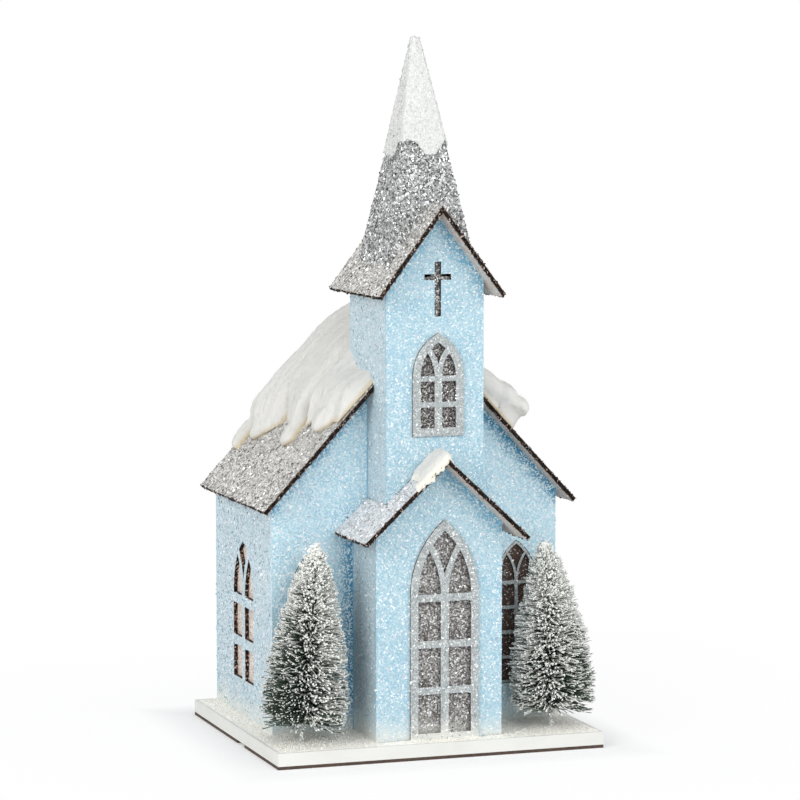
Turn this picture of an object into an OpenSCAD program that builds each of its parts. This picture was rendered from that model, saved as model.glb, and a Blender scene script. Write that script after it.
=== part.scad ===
/* [Base] */
// How far the base reaches past the nave's side walls
base_side = 9; // [6:0.5:20]
// Depth of the base, front to back
base_d = 140; // [136:1:170]
// Thickness of the painted slab
slab_t = 6; // [5:0.5:10]
// Thickness of the brown board under the slab
bottom_t = 1.5; // [1.2:0.1:3]
// Length of the notch in the bottom board's left edge
notch_l = 12; // [6:1:20]
// Distance of the notch's middle from the base's front edge
notch_setback = 60; // [30:1:110]

/* [Boards] */
// Thickness of the cut wall and roof boards
board = 2; // [1.5:0.25:2.5]
// Thickness of the glittered film behind the windows
film_t = 0.4; // [0.2:0.1:0.8]
// Thickness of the window and door frames
frame_t = 1; // [0.6:0.1:2]

/* [Nave] */
// Width of the nave over its side walls
nave_w = 140; // [132:1:146]
// Depth of the nave over its end walls
nave_d = 93; // [84:1:96]
// Distance from the base's front edge to the nave's front wall
nave_setback = 39; // [37:0.5:42]
// Height of the ridge's underside above the base
nave_ridge_h = 185; // [175:1:195]
// Slope of the roof in degrees
nave_slope = 47; // [43:1:50]
// Roof overhang at each eave, measured level
nave_eave = 5; // [2:0.5:8]
// Roof overhang at the front
nave_front_eave = 9.5; // [4:0.5:12]
// Roof overhang at the back
nave_back_eave = 5; // [2:0.5:6]

/* [Tower] */
// Width of the tower
tower_w = 47; // [42:1:52]
// Depth of the tower
tower_d = 52.5; // [46:0.5:58]
// How far the tower stands out in front of the nave
tower_out = 27; // [22:1:29]
// Height of the ridge's underside above the base
tower_ridge_h = 242; // [236:1:250]
// Slope of the tower roof in degrees
tower_slope = 53; // [50:1:56]
// Roof overhang at each eave, measured level
tower_eave = 5.5; // [3:0.5:8]
// Roof overhang at the front and the back
tower_end_eave = 10; // [5:0.5:12]

/* [Spire] */
// Height of the whole house over the base, to the tip of the spire
spire_top_h = 322.5; // [315:0.5:335]
// Width of the spire where it leaves the tower's ridge
spire_w = 31; // [26:1:34]
// Depth of the spire where it leaves the tower's ridge
spire_d = 34; // [28:1:38]
// Width of the blunt tip
tip_w = 1.6; // [1:0.1:3]
// Length of the snow-covered tip, measured down from the top
tip_snow_l = 52; // [30:1:60]

/* [Porch] */
// Width of the porch
porch_w = 61; // [57:1:64]
// How far the porch stands out in front of the tower
porch_out = 6; // [4:0.5:7]
// Height of the ridge's underside above the base
porch_ridge_h = 128.5; // [122:0.5:133]
// Slope of the porch roof in degrees
porch_slope = 43; // [40:1:46]
// Roof overhang at each eave, measured level
porch_eave = 8; // [4:0.5:10]
// Roof overhang at the front
porch_front_eave = 12; // [6:0.5:14]

/* [Door] */
// Width of the door frame
door_w = 33; // [28:0.5:36]
// Height from the base to where the door's arch springs
door_spring_h = 68; // [60:0.5:74]
// Rise of the door's pointed arch
door_rise = 34; // [30:0.5:36]
// Width of the frame round the panes
door_border = 3.7; // [2.5:0.1:5]
// Width of the upright bar between the panes
door_mullion = 3.9; // [2:0.1:5]
// Width of the level bars
door_bar = 3.4; // [2:0.1:5]
// Distance of the door to the right of the porch's middle
door_shift = 2.3; // [0:0.1:4]

/* [Tower window] */
// Width of the window frame
window_w = 24.5; // [20:0.5:28]
// Height of the window's sill over the base
window_sill_h = 140; // [138:0.5:144]
// Height from the sill to where the arch springs
window_spring_h = 27.5; // [22:0.5:30]
// Rise of the window's pointed arch
window_rise = 19.5; // [16:0.5:22]
// Width of the frame round the panes
window_border = 3.7; // [2.5:0.1:4.5]
// Width of the upright bar
window_mullion = 3.6; // [2:0.1:4.5]
// Width of the level bars
window_bar = 2.4; // [1.5:0.1:3.5]
// Distance of window and cross to the right of the tower's middle
window_shift = 1.2; // [0:0.1:2]

/* [Cross] */
// Height of the cross
cross_h = 25; // [18:0.5:26]
// Width of the cross
cross_w = 13; // [8:0.5:15]
// Width of its upright
cross_upright = 3.1; // [2:0.1:4]
// Width of its arm
cross_arm = 2.7; // [2:0.1:4]
// Height of the arm's middle over the foot of the cross
cross_arm_h = 18; // [14:0.5:20]
// Gap between the tower window's point and the foot of the cross
cross_gap = 7.6; // [5:0.2:10]

/* [Side windows] */
// Width of the windows in the side walls, between their jambs
side_window_w = 33; // [26:0.5:36]
// Height of the sills of all the nave windows over the base
nave_sill_h = 18.5; // [14:0.5:24]
// Height from the sill to where the side windows' arches spring
side_spring_h = 40; // [34:0.5:44]
// Rise of the side windows' arches
side_rise = 26.5; // [20:0.5:28]
// Width of the upright bar in the side windows
side_mullion = 4.8; // [3:0.1:6]
// Width of the level bars in the side windows
side_bar = 4.6; // [3:0.1:6]
// Width of the windows beside the porch, with their frames
front_window_w = 20; // [16:0.5:22]
// Height from the sill to where the front windows' arches spring
front_spring_h = 48.5; // [42:0.5:52]
// Rise of the front windows' arches
front_rise = 19; // [16:0.5:22]
// Width of the frame round the front windows
front_border = 1.2; // [0.8:0.1:2]
// Width of the bars in the front windows
front_bar = 1.6; // [1:0.1:2.5]

/* [Snow] */
// Thickness of the cotton snow on the nave roof
snow_t = 10.5; // [6:0.5:12]
// How far down the left slope the snow lies at its longest, measured level
snow_left = 55; // [46:1:58]
// How far down the right slope the snow lies, measured level
snow_right = 52; // [40:1:56]
// Thickness of the snow on the porch ridge
porch_snow_t = 3; // [2:0.5:5]
// How far the porch snow reaches down the left slope, measured level
porch_snow_l = 15; // [10:0.5:20]
// Thickness of the grains strewn on the base
ground_snow_t = 0.8; // [0.5:0.1:1.5]

/* [Trees] */
// Height of the left tree above the base
left_tree_h = 92.5; // [80:0.5:100]
// Height of the right tree above the base
right_tree_h = 88.5; // [80:0.5:100]
// Radius of a tree at its lowest bristles
tree_r = 18.5; // [14:0.5:19]
// Distance of each tree from the side edge of the base
tree_inset = 17.5; // [16:0.5:20]
// Distance of each tree from the front edge of the base
tree_setback = 21; // [19:0.5:22]
// Lean of the left tree towards the porch in degrees
left_lean = 4.6; // [0:0.1:6]
// Lean of the right tree towards the porch in degrees
right_lean = 2.6; // [0:0.1:6]
// Diameter of the twisted wire stem
stem_d = 2.6; // [2:0.1:4]
// Height of the lowest bristles above the base
tree_foot = 6.5; // [5:0.5:10]
// Number of bristles modelled on each tree
bristle_count = 210; // [150:1:240]

/* [Light unit] */
// Diameter of an AAA cell
cell_d = 10.5; // [10.5:0.1:10.6]
// Length of an AAA cell over its button
cell_l = 44.5; // [44.5:0.1:44.6]
// Wall of the battery case
case_wall = 1.2; // [1:0.1:2]
// Room at each end of the cells for their contacts
contact_room = 2.4; // [2:0.1:4]
// Length of the compartment that holds the switch
switch_bay_l = 12; // [11:0.5:16]
// Distance of the case's middle from the nave's front wall
case_setback = 50; // [44:1:54]
// Width of the rim that rests on the slab
case_rim = 3; // [2:0.5:5]
// Travel of the switch knob
switch_travel = 3; // [2:0.5:3]
// Diameter of the lamp
lamp_d = 5; // [3:0.5:6]
// Height of the lamp over the case
lamp_h = 8.6; // [6:0.1:12]

/* [Hidden] */
LEFT = -1;
RIGHT = 1;
arc_fn = 96;
cut = 1;              // overrun of a cut past a face
gap = 0.3;            // clearance round a piece that is set into another
pin_gap = 0.05;       // clearance round the battery door's pins

// Levels, measured from the base's underside, and planes, from the middle of the base
base_w = nave_w + 2 * base_side;
base_h = bottom_t + slab_t;
nave_front = nave_setback - base_d / 2;
nave_back = nave_front + nave_d;
nave_ridge = base_h + nave_ridge_h;
tower_front = nave_front - tower_out;
tower_back = tower_front + tower_d;
tower_ridge = base_h + tower_ridge_h;
porch_front = tower_front - porch_out;
porch_ridge = base_h + porch_ridge_h;

// Underside and top of a roof at a distance x from its ridge
function underside(x, ridge, slope) = ridge - abs(x) * tan(slope);
function topside(x, ridge, slope) = underside(x, ridge, slope) + board / cos(slope);

// Where the nave's roof meets the tower's sides, and the porch's roof its front
tower_foot = underside(tower_w / 2, nave_ridge, nave_slope) - board;
tower_front_foot = underside(porch_w / 2, porch_ridge, porch_slope);

// The spire narrows evenly from the ridge of the tower's roof to its tip
spire_mid = (tower_front + tower_back) / 2;
spire_foot = topside(0, tower_ridge, tower_slope);
spire_top = base_h + spire_top_h;
spire_run = spire_top - spire_foot;
spire_kx = (spire_w - tip_w) / 2 / spire_run;
spire_ky = (spire_d - tip_w) / 2 / spire_run;
spire_low = tower_ridge - (tower_w / 2) * tan(tower_slope);
spire_cut = spire_top - spire_run / 8;
tip_snow_t = 0.5;     // thickness of the flock on the spire

// Window planes
door_plane = porch_front;
window_sill = base_h + window_sill_h;
nave_sill = base_h + nave_sill_h;
front_window_x = (porch_w + nave_w) / 4;
side_window_y = (nave_front + nave_back) / 2;
branch_share = 0.7;   // width of a tracery branch as a share of the upright bar
door_rows = 3;
window_rows = 2;
side_rows = 2;
front_rows = 4;
cross_foot = window_sill + window_spring_h + window_rise + cross_gap;
film_margin = 1;      // how far a film laps behind the board round its opening

// Battery case, from the underside up
case_low = gap;
door_t = case_wall;
bay_w = 2 * cell_d + 3 * gap;
bay_l = cell_l + 2 * contact_room;
cell_z = case_low + door_t + gap + cell_d / 2;
bay_top = cell_z + cell_d / 2 + gap;
case_w = bay_w + 2 * case_wall;
case_l = bay_l + switch_bay_l + 3 * case_wall;
case_y = nave_front + case_setback;
case_x0 = -case_l / 2;
bay_x0 = case_x0 + case_wall;
switch_x0 = bay_x0 + bay_l + case_wall;
pin_r = door_t / 2;
pin_l = case_wall / 2;
hinge_x = bay_x0 + gap + pin_r;
hinge_z = case_low + pin_r;
finger_r = 4;         // radius of the finger notch in the door's free end
knob_l = 4;
knob_w = 3;
knob_x = switch_x0 + (switch_bay_l - switch_travel) / 2;

// Extrudes a section drawn in X and Z along Y
module along_y(y0, y1) {
    translate([0, y1, 0]) rotate([90, 0, 0]) linear_extrude(y1 - y0) children();
}

// Extrudes a section drawn in Y and Z along X
module along_x(x0, x1) {
    translate([x0, 0, 0]) rotate([90, 0, 90]) linear_extrude(x1 - x0) children();
}

// A box between two corners
module between(low, high) {
    translate(low) cube(high - low);
}

// Outline of a gabled wall, with its foot level and its head against the roof
module gable(half_w, foot, ridge, slope) {
    head = underside(half_w, ridge, slope);
    polygon([[-half_w, foot], [half_w, foot], [half_w, head], [0, ridge], [-half_w, head]]);
}

// Section of one slope of a roof, mitred at the ridge and cut square at the eave
module slope_section(side, half_w, eave, ridge, slope) {
    foot = half_w + eave;
    low = underside(foot, ridge, slope);
    polygon([
        [0, ridge],
        [0, ridge + board / cos(slope)],
        [side * (foot + board * sin(slope)), low + board * cos(slope)],
        [side * foot, low]
    ]);
}

// Radius of the arcs of a pointed arch of width w and this rise
function arch_r(w, rise) = (rise * rise + w * w / 4) / w;
function arch_rise(w, r) = sqrt(r * w - w * w / 4);

// A pointed opening: straight jambs up to the springing, then two arcs
module lancet(w, sill, spring, rise) {
    r = arch_r(w, rise);
    translate([-w / 2, sill]) square([w, spring - sill]);
    intersection() {
        translate([-w / 2, spring]) square([w, rise + cut]);
        translate([r - w / 2, spring]) circle(r, $fn = arc_fn);
        translate([w / 2 - r, spring]) circle(r, $fn = arc_fn);
    }
}

// The glazed area of a window: two pointed lights, with a pane between their heads
module panes(w, sill, spring, rise, mullion, bar, rows) {
    r = arch_r(w, rise);
    light = (w - mullion) / 2;
    branch = mullion * branch_share;
    difference() {
        for (side = [LEFT, RIGHT]) translate([side * (mullion + light) / 2, 0])
            lancet(light, sill, spring, arch_rise(light, r));
        for (row = [1:rows]) translate([-w, sill + row * (spring - sill) / rows - bar])
            square([2 * w, bar]);
    }
    difference() {
        intersection() {
            translate([-w / 2, spring]) square([w, rise + cut]);
            translate([r - w / 2, spring]) circle(r, $fn = arc_fn);
            translate([w / 2 - r, spring]) circle(r, $fn = arc_fn);
        }
        for (side = [LEFT, RIGHT]) translate([side * (mullion / 2 + r), spring])
            circle(r + branch, $fn = arc_fn);
    }
}

// A flat window frame with its panes left open
module frame_outline(w, sill, spring, rise, border, mullion, bar, rows) {
    r = arch_r(w, rise) - border;
    inner = w - 2 * border;
    difference() {
        lancet(w, sill, spring, rise);
        panes(inner, sill + border, spring, arch_rise(inner, r), mullion, bar, rows);
    }
}

// The opening in a wall behind an applied frame, hidden by half of the frame's border
module opening_outline(w, sill, spring, rise, border) {
    inner = w - border;
    lancet(inner, sill + border / 2, spring, arch_rise(inner, arch_r(w, rise) - border / 2));
}

module case_cutout() {
    translate([case_x0 - gap, case_y - case_w / 2 - gap])
        square([case_l + 2 * gap, case_w + 2 * gap]);
}

module base_outline() {
    translate([-base_w / 2, -base_d / 2]) square([base_w, base_d]);
}

module base_slab() {
    color("ivory") difference() {
        translate([0, 0, bottom_t]) linear_extrude(slab_t) difference() {
            base_outline();
            case_cutout();
        }
        for (side = [LEFT, RIGHT]) tree_place(side) cylinder(d = stem_d + gap, h = slab_t, $fn = 32);
    }
}

module bottom_board() {
    color("saddlebrown") linear_extrude(bottom_t) difference() {
        base_outline();
        case_cutout();
        translate([-base_w / 2 - cut, notch_setback - (base_d + notch_l) / 2])
            square([cut + 2 * board, notch_l]);
    }
}

// Everything that stands on the slab, seen from above
module footprint(grow) {
    translate([-nave_w / 2 - grow, nave_front - grow]) square([nave_w + 2 * grow, nave_d + 2 * grow]);
    translate([-porch_w / 2 - grow, porch_front - frame_t - grow])
        square([porch_w + 2 * grow, nave_front - porch_front + frame_t + grow]);
}

module ground_snow() {
    edge = base_side / 3;
    color("whitesmoke") difference() {
        translate([0, 0, base_h]) linear_extrude(ground_snow_t) difference() {
            translate([edge - base_w / 2, edge - base_d / 2])
                square([base_w - 2 * edge, base_d - 2 * edge]);
            footprint(gap);
        }
        for (side = [LEFT, RIGHT]) tree_place(side)
            cylinder(d = stem_d + 2 * gap, h = slab_t + 2 * cut, $fn = 32);
    }
}

// The nave's front wall is in two halves, one each side of the tower
module nave_front_half(side) {
    inner = tower_w / 2 + gap;
    outer = nave_w / 2;
    along_y(nave_front, nave_front + board) difference() {
        polygon([
            [side * inner, base_h], [side * outer, base_h],
            [side * outer, underside(outer, nave_ridge, nave_slope)],
            [side * inner, underside(inner, nave_ridge, nave_slope)]
        ]);
        translate([side * front_window_x, 0])
            lancet(front_window_w + 2 * gap, nave_sill - gap, nave_sill + front_spring_h, front_rise + gap);
    }
}
module nave_front_wall_left() { color("lightblue") nave_front_half(LEFT); }
module nave_front_wall_right() { color("lightblue") nave_front_half(RIGHT); }

module nave_back_wall() {
    color("lightblue") along_y(nave_back - board, nave_back)
        gable(nave_w / 2, base_h, nave_ridge, nave_slope);
}

module nave_side_wall(side) {
    outer = nave_w / 2;
    inner = outer - board;
    difference() {
        along_y(nave_front + board, nave_back - board) polygon([
            [side * inner, base_h], [side * outer, base_h],
            [side * outer, underside(outer, nave_ridge, nave_slope)],
            [side * inner, underside(inner, nave_ridge, nave_slope)]
        ]);
        along_x(side * nave_w / 2 - board - cut, side * nave_w / 2 + board + cut)
            translate([side_window_y, 0])
            panes(side_window_w, nave_sill, nave_sill + side_spring_h, side_rise,
                side_mullion, side_bar, side_rows);
    }
}
module nave_left_wall() { color("lightblue") nave_side_wall(LEFT); }
module nave_right_wall() { color("lightblue") nave_side_wall(RIGHT); }

// The tower comes up through the nave's roof, which is notched round it
module tower_notch(grow) {
    between([-tower_w / 2 - grow, tower_front - grow, 0], [tower_w / 2 + grow, tower_back + grow, spire_top]);
}

module nave_roof(side) {
    difference() {
        along_y(nave_front - nave_front_eave, nave_back + nave_back_eave)
            slope_section(side, nave_w / 2, nave_eave, nave_ridge, nave_slope);
        tower_notch(gap);
    }
}
module nave_roof_left() { color("darkgray") nave_roof(LEFT); }
module nave_roof_right() { color("darkgray") nave_roof(RIGHT); }

// Cotton snow over the nave's ridge: a sheet of rows front to back and columns left to right.
// It is thinnest at the ridge, swells on the slopes and rounds off at its lobed lower edges.
snow_rows = 22;
snow_cols = 24;
snow_front = nave_front - nave_front_eave / 2;
snow_back = nave_back + nave_back_eave - gap;
// Reach of the snow down the left slope, from the front to the back, as shares of its longest:
// short beside the tower, then three hanging lobes
snow_reach_shares = [[0, 0.74], [0.12, 0.76], [0.26, 0.78], [0.33, 0.92], [0.42, 0.93], [0.54, 0.85],
    [0.64, 0.86], [0.72, 0.95], [0.84, 0.97], [0.92, 0.99], [1, 1]];
snow_ridge_share = 0.42;  // thickness at the ridge, as a share of the full thickness
snow_fall_share = 1.3;    // how soon it swells below the ridge: late at the front, sooner at the back
snow_edge_share = 0.1;    // thickness at the very edge
function ease(t) = t <= 0 ? 0 : t >= 1 ? 1 : sqrt(1 - (1 - t) * (1 - t));
function snow_y(v) = snow_front + v * (snow_back - snow_front);
function snow_reach_left(v) = snow_left * lookup(v, snow_reach_shares);
function snow_x(u, v) = u < 0.5 ? -snow_reach_left(v) * (1 - 2 * u) : snow_right * (2 * u - 1);
function snow_swell(u, v) =
    let (ends = min(ease(8 * u), ease(8 * (1 - u)), ease(12 * v), ease(12 * (1 - v))),
         fall = abs(2 * u - 1) * snow_fall_share * (1 + v),
         middle = snow_ridge_share + (1 - snow_ridge_share) * ease(fall))
    snow_t * (snow_edge_share + (1 - snow_edge_share) * ends * middle);
function snow_point(i, j, on_top) =
    let (u = i / snow_cols, v = j / snow_rows, x = snow_x(u, v),
         z = topside(x, nave_ridge, nave_slope) + gap / cos(nave_slope))
    [x, snow_y(v), z + (on_top ? snow_swell(u, v) / cos(nave_slope) : 0)];

// Triangles of a sheet with a top, a bottom and four sides, on a grid of points
function sheet_faces(cols, rows) =
    let (n = (cols + 1) * (rows + 1), at = function(i, j, k) k * n + j * (cols + 1) + i)
    concat(
        [for (j = [0:rows - 1], i = [0:cols - 1]) each [
            [at(i, j, 1), at(i, j + 1, 1), at(i + 1, j + 1, 1)],
            [at(i, j, 1), at(i + 1, j + 1, 1), at(i + 1, j, 1)],
            [at(i, j, 0), at(i + 1, j + 1, 0), at(i, j + 1, 0)],
            [at(i, j, 0), at(i + 1, j, 0), at(i + 1, j + 1, 0)]]],
        [for (i = [0:cols - 1]) each [
            [at(i, 0, 0), at(i, 0, 1), at(i + 1, 0, 1)],
            [at(i, 0, 0), at(i + 1, 0, 1), at(i + 1, 0, 0)],
            [at(i, rows, 0), at(i + 1, rows, 1), at(i, rows, 1)],
            [at(i, rows, 0), at(i + 1, rows, 0), at(i + 1, rows, 1)]]],
        [for (j = [0:rows - 1]) each [
            [at(0, j, 0), at(0, j + 1, 1), at(0, j, 1)],
            [at(0, j, 0), at(0, j + 1, 0), at(0, j + 1, 1)],
            [at(cols, j, 0), at(cols, j, 1), at(cols, j + 1, 1)],
            [at(cols, j, 0), at(cols, j + 1, 1), at(cols, j + 1, 0)]]]);

module roof_snow() {
    points = [for (k = [0, 1], j = [0:snow_rows], i = [0:snow_cols]) snow_point(i, j, k == 1)];
    color("white") difference() {
        polyhedron(points, sheet_faces(snow_cols, snow_rows));
        tower_notch(gap);
    }
}

module cross_outline() {
    translate([-cross_upright / 2, cross_foot]) square([cross_upright, cross_h]);
    translate([-cross_w / 2, cross_foot + cross_arm_h - cross_arm / 2]) square([cross_w, cross_arm]);
}

module tower_front_wall() {
    color("lightblue") along_y(tower_front, tower_front + board) difference() {
        gable(tower_w / 2, tower_front_foot, tower_ridge, tower_slope);
        translate([window_shift, 0]) {
            opening_outline(window_w, window_sill, window_sill + window_spring_h, window_rise, window_border);
            cross_outline();
        }
    }
}

module tower_back_wall() {
    color("lightblue") along_y(tower_back - board, tower_back)
        gable(tower_w / 2, tower_foot, tower_ridge, tower_slope);
}

// A side of the tower stands on the base in front of the nave, and above its roof behind
module tower_side(side) {
    outer = tower_w / 2;
    inner = outer - board;
    intersection() {
        along_y(tower_front + board, tower_back - board) polygon([
            [side * inner, base_h], [side * outer, base_h],
            [side * outer, underside(outer, tower_ridge, tower_slope)],
            [side * inner, underside(inner, tower_ridge, tower_slope)]
        ]);
        along_x(-nave_w, nave_w) polygon([
            [tower_front, 0], [nave_front + board, 0], [nave_front + board, tower_foot],
            [tower_back, tower_foot], [tower_back, spire_top], [tower_front, spire_top]
        ]);
    }
}
module tower_left_wall() { color("lightblue") tower_side(LEFT); }
module tower_right_wall() { color("lightblue") tower_side(RIGHT); }

module tower_roof(side) {
    along_y(tower_front - tower_end_eave, tower_back + tower_end_eave)
        slope_section(side, tower_w / 2, tower_eave, tower_ridge, tower_slope);
}
module tower_roof_left() { color("darkgray") tower_roof(LEFT); }
module tower_roof_right() { color("darkgray") tower_roof(RIGHT); }

module tower_window_frame() {
    color("silver") along_y(tower_front - frame_t, tower_front) translate([window_shift, 0])
        frame_outline(window_w, window_sill, window_sill + window_spring_h, window_rise,
            window_border, window_mullion, window_bar, window_rows);
}

module tower_window_film() {
    half = tower_w / 2 - board - gap;
    color("dimgray") along_y(tower_front + board, tower_front + board + film_t)
        translate([-half, window_sill]) square([2 * half, cross_foot + cross_arm_h - window_sill]);
    color("dimgray") along_y(tower_front + board, tower_front + board + film_t)
        translate([window_shift - cross_upright / 2 - film_margin, cross_foot + cross_arm_h])
        square([cross_upright + 2 * film_margin, cross_h - cross_arm_h + film_margin]);
}

// Half-widths of the spire at a level, outside and inside its boards
function spire_out(z) = [tip_w / 2 + (spire_top - z) * spire_kx, tip_w / 2 + (spire_top - z) * spire_ky];
function spire_in(z) = spire_out(z) - board * [sqrt(1 + spire_kx * spire_kx), sqrt(1 + spire_ky * spire_ky)];

// A four-sided frustum with its middle on the tower's
module frustum(z0, z1, half0, half1) {
    points = [for (level = [[z0, half0], [z1, half1]], s = [[-1, -1], [1, -1], [1, 1], [-1, 1]])
        [s[0] * level[1][0], spire_mid + s[1] * level[1][1], level[0]]];
    polyhedron(points, [[0, 1, 2, 3], [7, 6, 5, 4], [0, 4, 5, 1], [1, 5, 6, 2], [2, 6, 7, 3], [3, 7, 4, 0]]);
}

// One of the spire's four boards, mitred at its edges and cut to the roof it stands on.
// Its corners run from the outer edge to the inner one at its foot and at its head.
module spire_board(a, b) {
    levels = [spire_low, spire_cut];
    points = [for (z = levels, s = [a, b], half = [spire_out(z), spire_in(z)])
        [s[0] * half[0], spire_mid + s[1] * half[1], z]];
    difference() {
        polyhedron(points, [[0, 2, 3, 1], [4, 5, 7, 6], [0, 4, 6, 2], [1, 3, 7, 5], [0, 1, 5, 4], [2, 6, 7, 3]]);
        along_y(tower_front - tower_d, tower_back + tower_d) polygon([
            [-tower_w, topside(tower_w, tower_ridge, tower_slope)], [0, spire_foot],
            [tower_w, topside(tower_w, tower_ridge, tower_slope)]
        ]);
    }
}
module spire_front() { color("silver") spire_board([-1, -1], [1, -1]); }
module spire_right() { color("silver") spire_board([1, -1], [1, 1]); }
module spire_back() { color("silver") spire_board([1, 1], [-1, 1]); }
module spire_left() { color("silver") spire_board([-1, 1], [-1, -1]); }

// White flock over the top of the spire, with a rounded lobe hanging down each face
module spire_snow() {
    low = spire_top - tip_snow_l;
    lobe_r = spire_out(low)[0] * 0.8;
    grow = [tip_snow_t, tip_snow_t];
    lowest = low - 2 * lobe_r;
    color("white") difference() {
        intersection() {
            frustum(lowest, spire_top, spire_out(lowest) + grow, spire_out(spire_top));
            union() {
                between([-tower_w, spire_mid - tower_d, low], [tower_w, spire_mid + tower_d, spire_top]);
                translate([0, spire_mid - tower_d, low]) rotate([-90, 0, 0])
                    cylinder(r = lobe_r, h = 2 * tower_d, $fn = arc_fn);
                translate([-tower_w, spire_mid, low]) rotate([0, 90, 0])
                    cylinder(r = lobe_r, h = 2 * tower_w, $fn = arc_fn);
            }
        }
        frustum(lowest - cut, spire_cut, spire_out(lowest - cut), spire_out(spire_cut));
    }
}

module porch_front_wall() {
    color("lightblue") along_y(porch_front, porch_front + board) difference() {
        gable(porch_w / 2, base_h, porch_ridge, porch_slope);
        translate([door_shift, 0])
            opening_outline(door_w, base_h, base_h + door_spring_h, door_rise, door_border);
    }
}

module porch_side_wall(side) {
    outer = porch_w / 2;
    inner = outer - board;
    along_y(porch_front + board, nave_front) polygon([
        [side * inner, base_h], [side * outer, base_h],
        [side * outer, underside(outer, porch_ridge, porch_slope)],
        [side * inner, underside(inner, porch_ridge, porch_slope)]
    ]);
}
module porch_left_wall() { color("lightblue") porch_side_wall(LEFT); }
module porch_right_wall() { color("lightblue") porch_side_wall(RIGHT); }

// The porch roof is notched round the tower's front and ends at the nave's wall
module porch_roof(side) {
    difference() {
        along_y(porch_front - porch_front_eave, nave_front)
            slope_section(side, porch_w / 2, porch_eave, porch_ridge, porch_slope);
        tower_notch(gap);
    }
}
module porch_roof_left() { color("darkgray") porch_roof(LEFT); }
module porch_roof_right() { color("darkgray") porch_roof(RIGHT); }

// A small cap of snow over the front of the porch ridge
porch_ridge_share = 0.8;  // share of its columns left of the ridge
porch_cols = 10;
porch_rows = 8;
function porch_snow_point(i, j, on_top) =
    let (u = i / porch_cols, v = j / porch_rows,
         x = porch_snow_l * (u - porch_ridge_share),
         y0 = porch_front - porch_front_eave,
         y1 = tower_front - 2 * gap,
         z = topside(x, porch_ridge, porch_slope) + gap / cos(porch_slope),
         swell = min(ease(4 * u), ease(4 * (1 - u)), ease(5 * v + snow_edge_share)))
    [x, y0 + v * (y1 - y0), z + (on_top ? porch_snow_t * (snow_edge_share + swell) : 0)];

module porch_snow() {
    points = [for (k = [0, 1], j = [0:porch_rows], i = [0:porch_cols]) porch_snow_point(i, j, k == 1)];
    color("cornsilk") polyhedron(points, sheet_faces(porch_cols, porch_rows));
}

module door_frame() {
    color("silver") along_y(porch_front - frame_t, porch_front) translate([door_shift, 0])
        frame_outline(door_w, base_h, base_h + door_spring_h, door_rise,
            door_border, door_mullion, door_bar, door_rows);
}

module door_film() {
    half = tower_w / 2 - board;
    color("dimgray") along_y(porch_front + board, porch_front + board + film_t)
        translate([door_shift - half, base_h]) square([2 * half, door_spring_h + door_rise]);
}

module front_window_frame(side) {
    color("silver") along_y(nave_front, nave_front + board) translate([side * front_window_x, 0])
        frame_outline(front_window_w, nave_sill, nave_sill + front_spring_h, front_rise,
            front_border, front_bar, front_bar, front_rows);
}
module front_left_window_frame() { front_window_frame(LEFT); }
module front_right_window_frame() { front_window_frame(RIGHT); }

module front_window_film(side) {
    half = front_window_w / 2 + film_margin;
    color("dimgray") along_y(nave_front + board, nave_front + board + film_t)
        translate([side * front_window_x - half, nave_sill - film_margin])
        square([2 * half, front_spring_h + front_rise + 2 * film_margin]);
}
module front_left_window_film() { front_window_film(LEFT); }
module front_right_window_film() { front_window_film(RIGHT); }

module side_window_film(side) {
    half = side_window_w / 2 + film_margin;
    inner = nave_w / 2 - board - film_t / 2;
    color("dimgray") along_x(side * inner - film_t / 2, side * inner + film_t / 2)
        translate([side_window_y - half, nave_sill - film_margin])
        square([2 * half, side_spring_h + side_rise + 2 * film_margin]);
}
module left_window_film() { side_window_film(LEFT); }
module right_window_film() { side_window_film(RIGHT); }

// A tree's own axis, with its foot at the middle of the slab's thickness
tree_x = base_w / 2 - tree_inset;
module tree_place(side) {
    translate([side * tree_x, tree_setback - base_d / 2, bottom_t + slab_t / 2])
        rotate([0, -side * (side == LEFT ? left_lean : right_lean), 0]) children();
}

module tree_stem(side) {
    color("darkseagreen") tree_place(side) cylinder(d = stem_d, h = slab_t / 2 + tree_foot, $fn = 32);
}
module left_tree_stem() { tree_stem(LEFT); }
module right_tree_stem() { tree_stem(RIGHT); }

// Bristles stand out from the stem in a spiral, each a thin three-sided point
golden = 137.508;
bristle_w = 0.9;
bristle_droop = 3;    // how far a bristle's tip hangs below its root, at the foot of the tree
crown_r = 2;          // length of the topmost bristles past the stem
stem_sides = 8;
// Radius of the tree at a share t of its height: nearly straight, with a little belly
function tree_radius(t) = crown_r + stem_d / 2 + (tree_r - crown_r - stem_d / 2) * pow(1 - t, 0.85);
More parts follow.
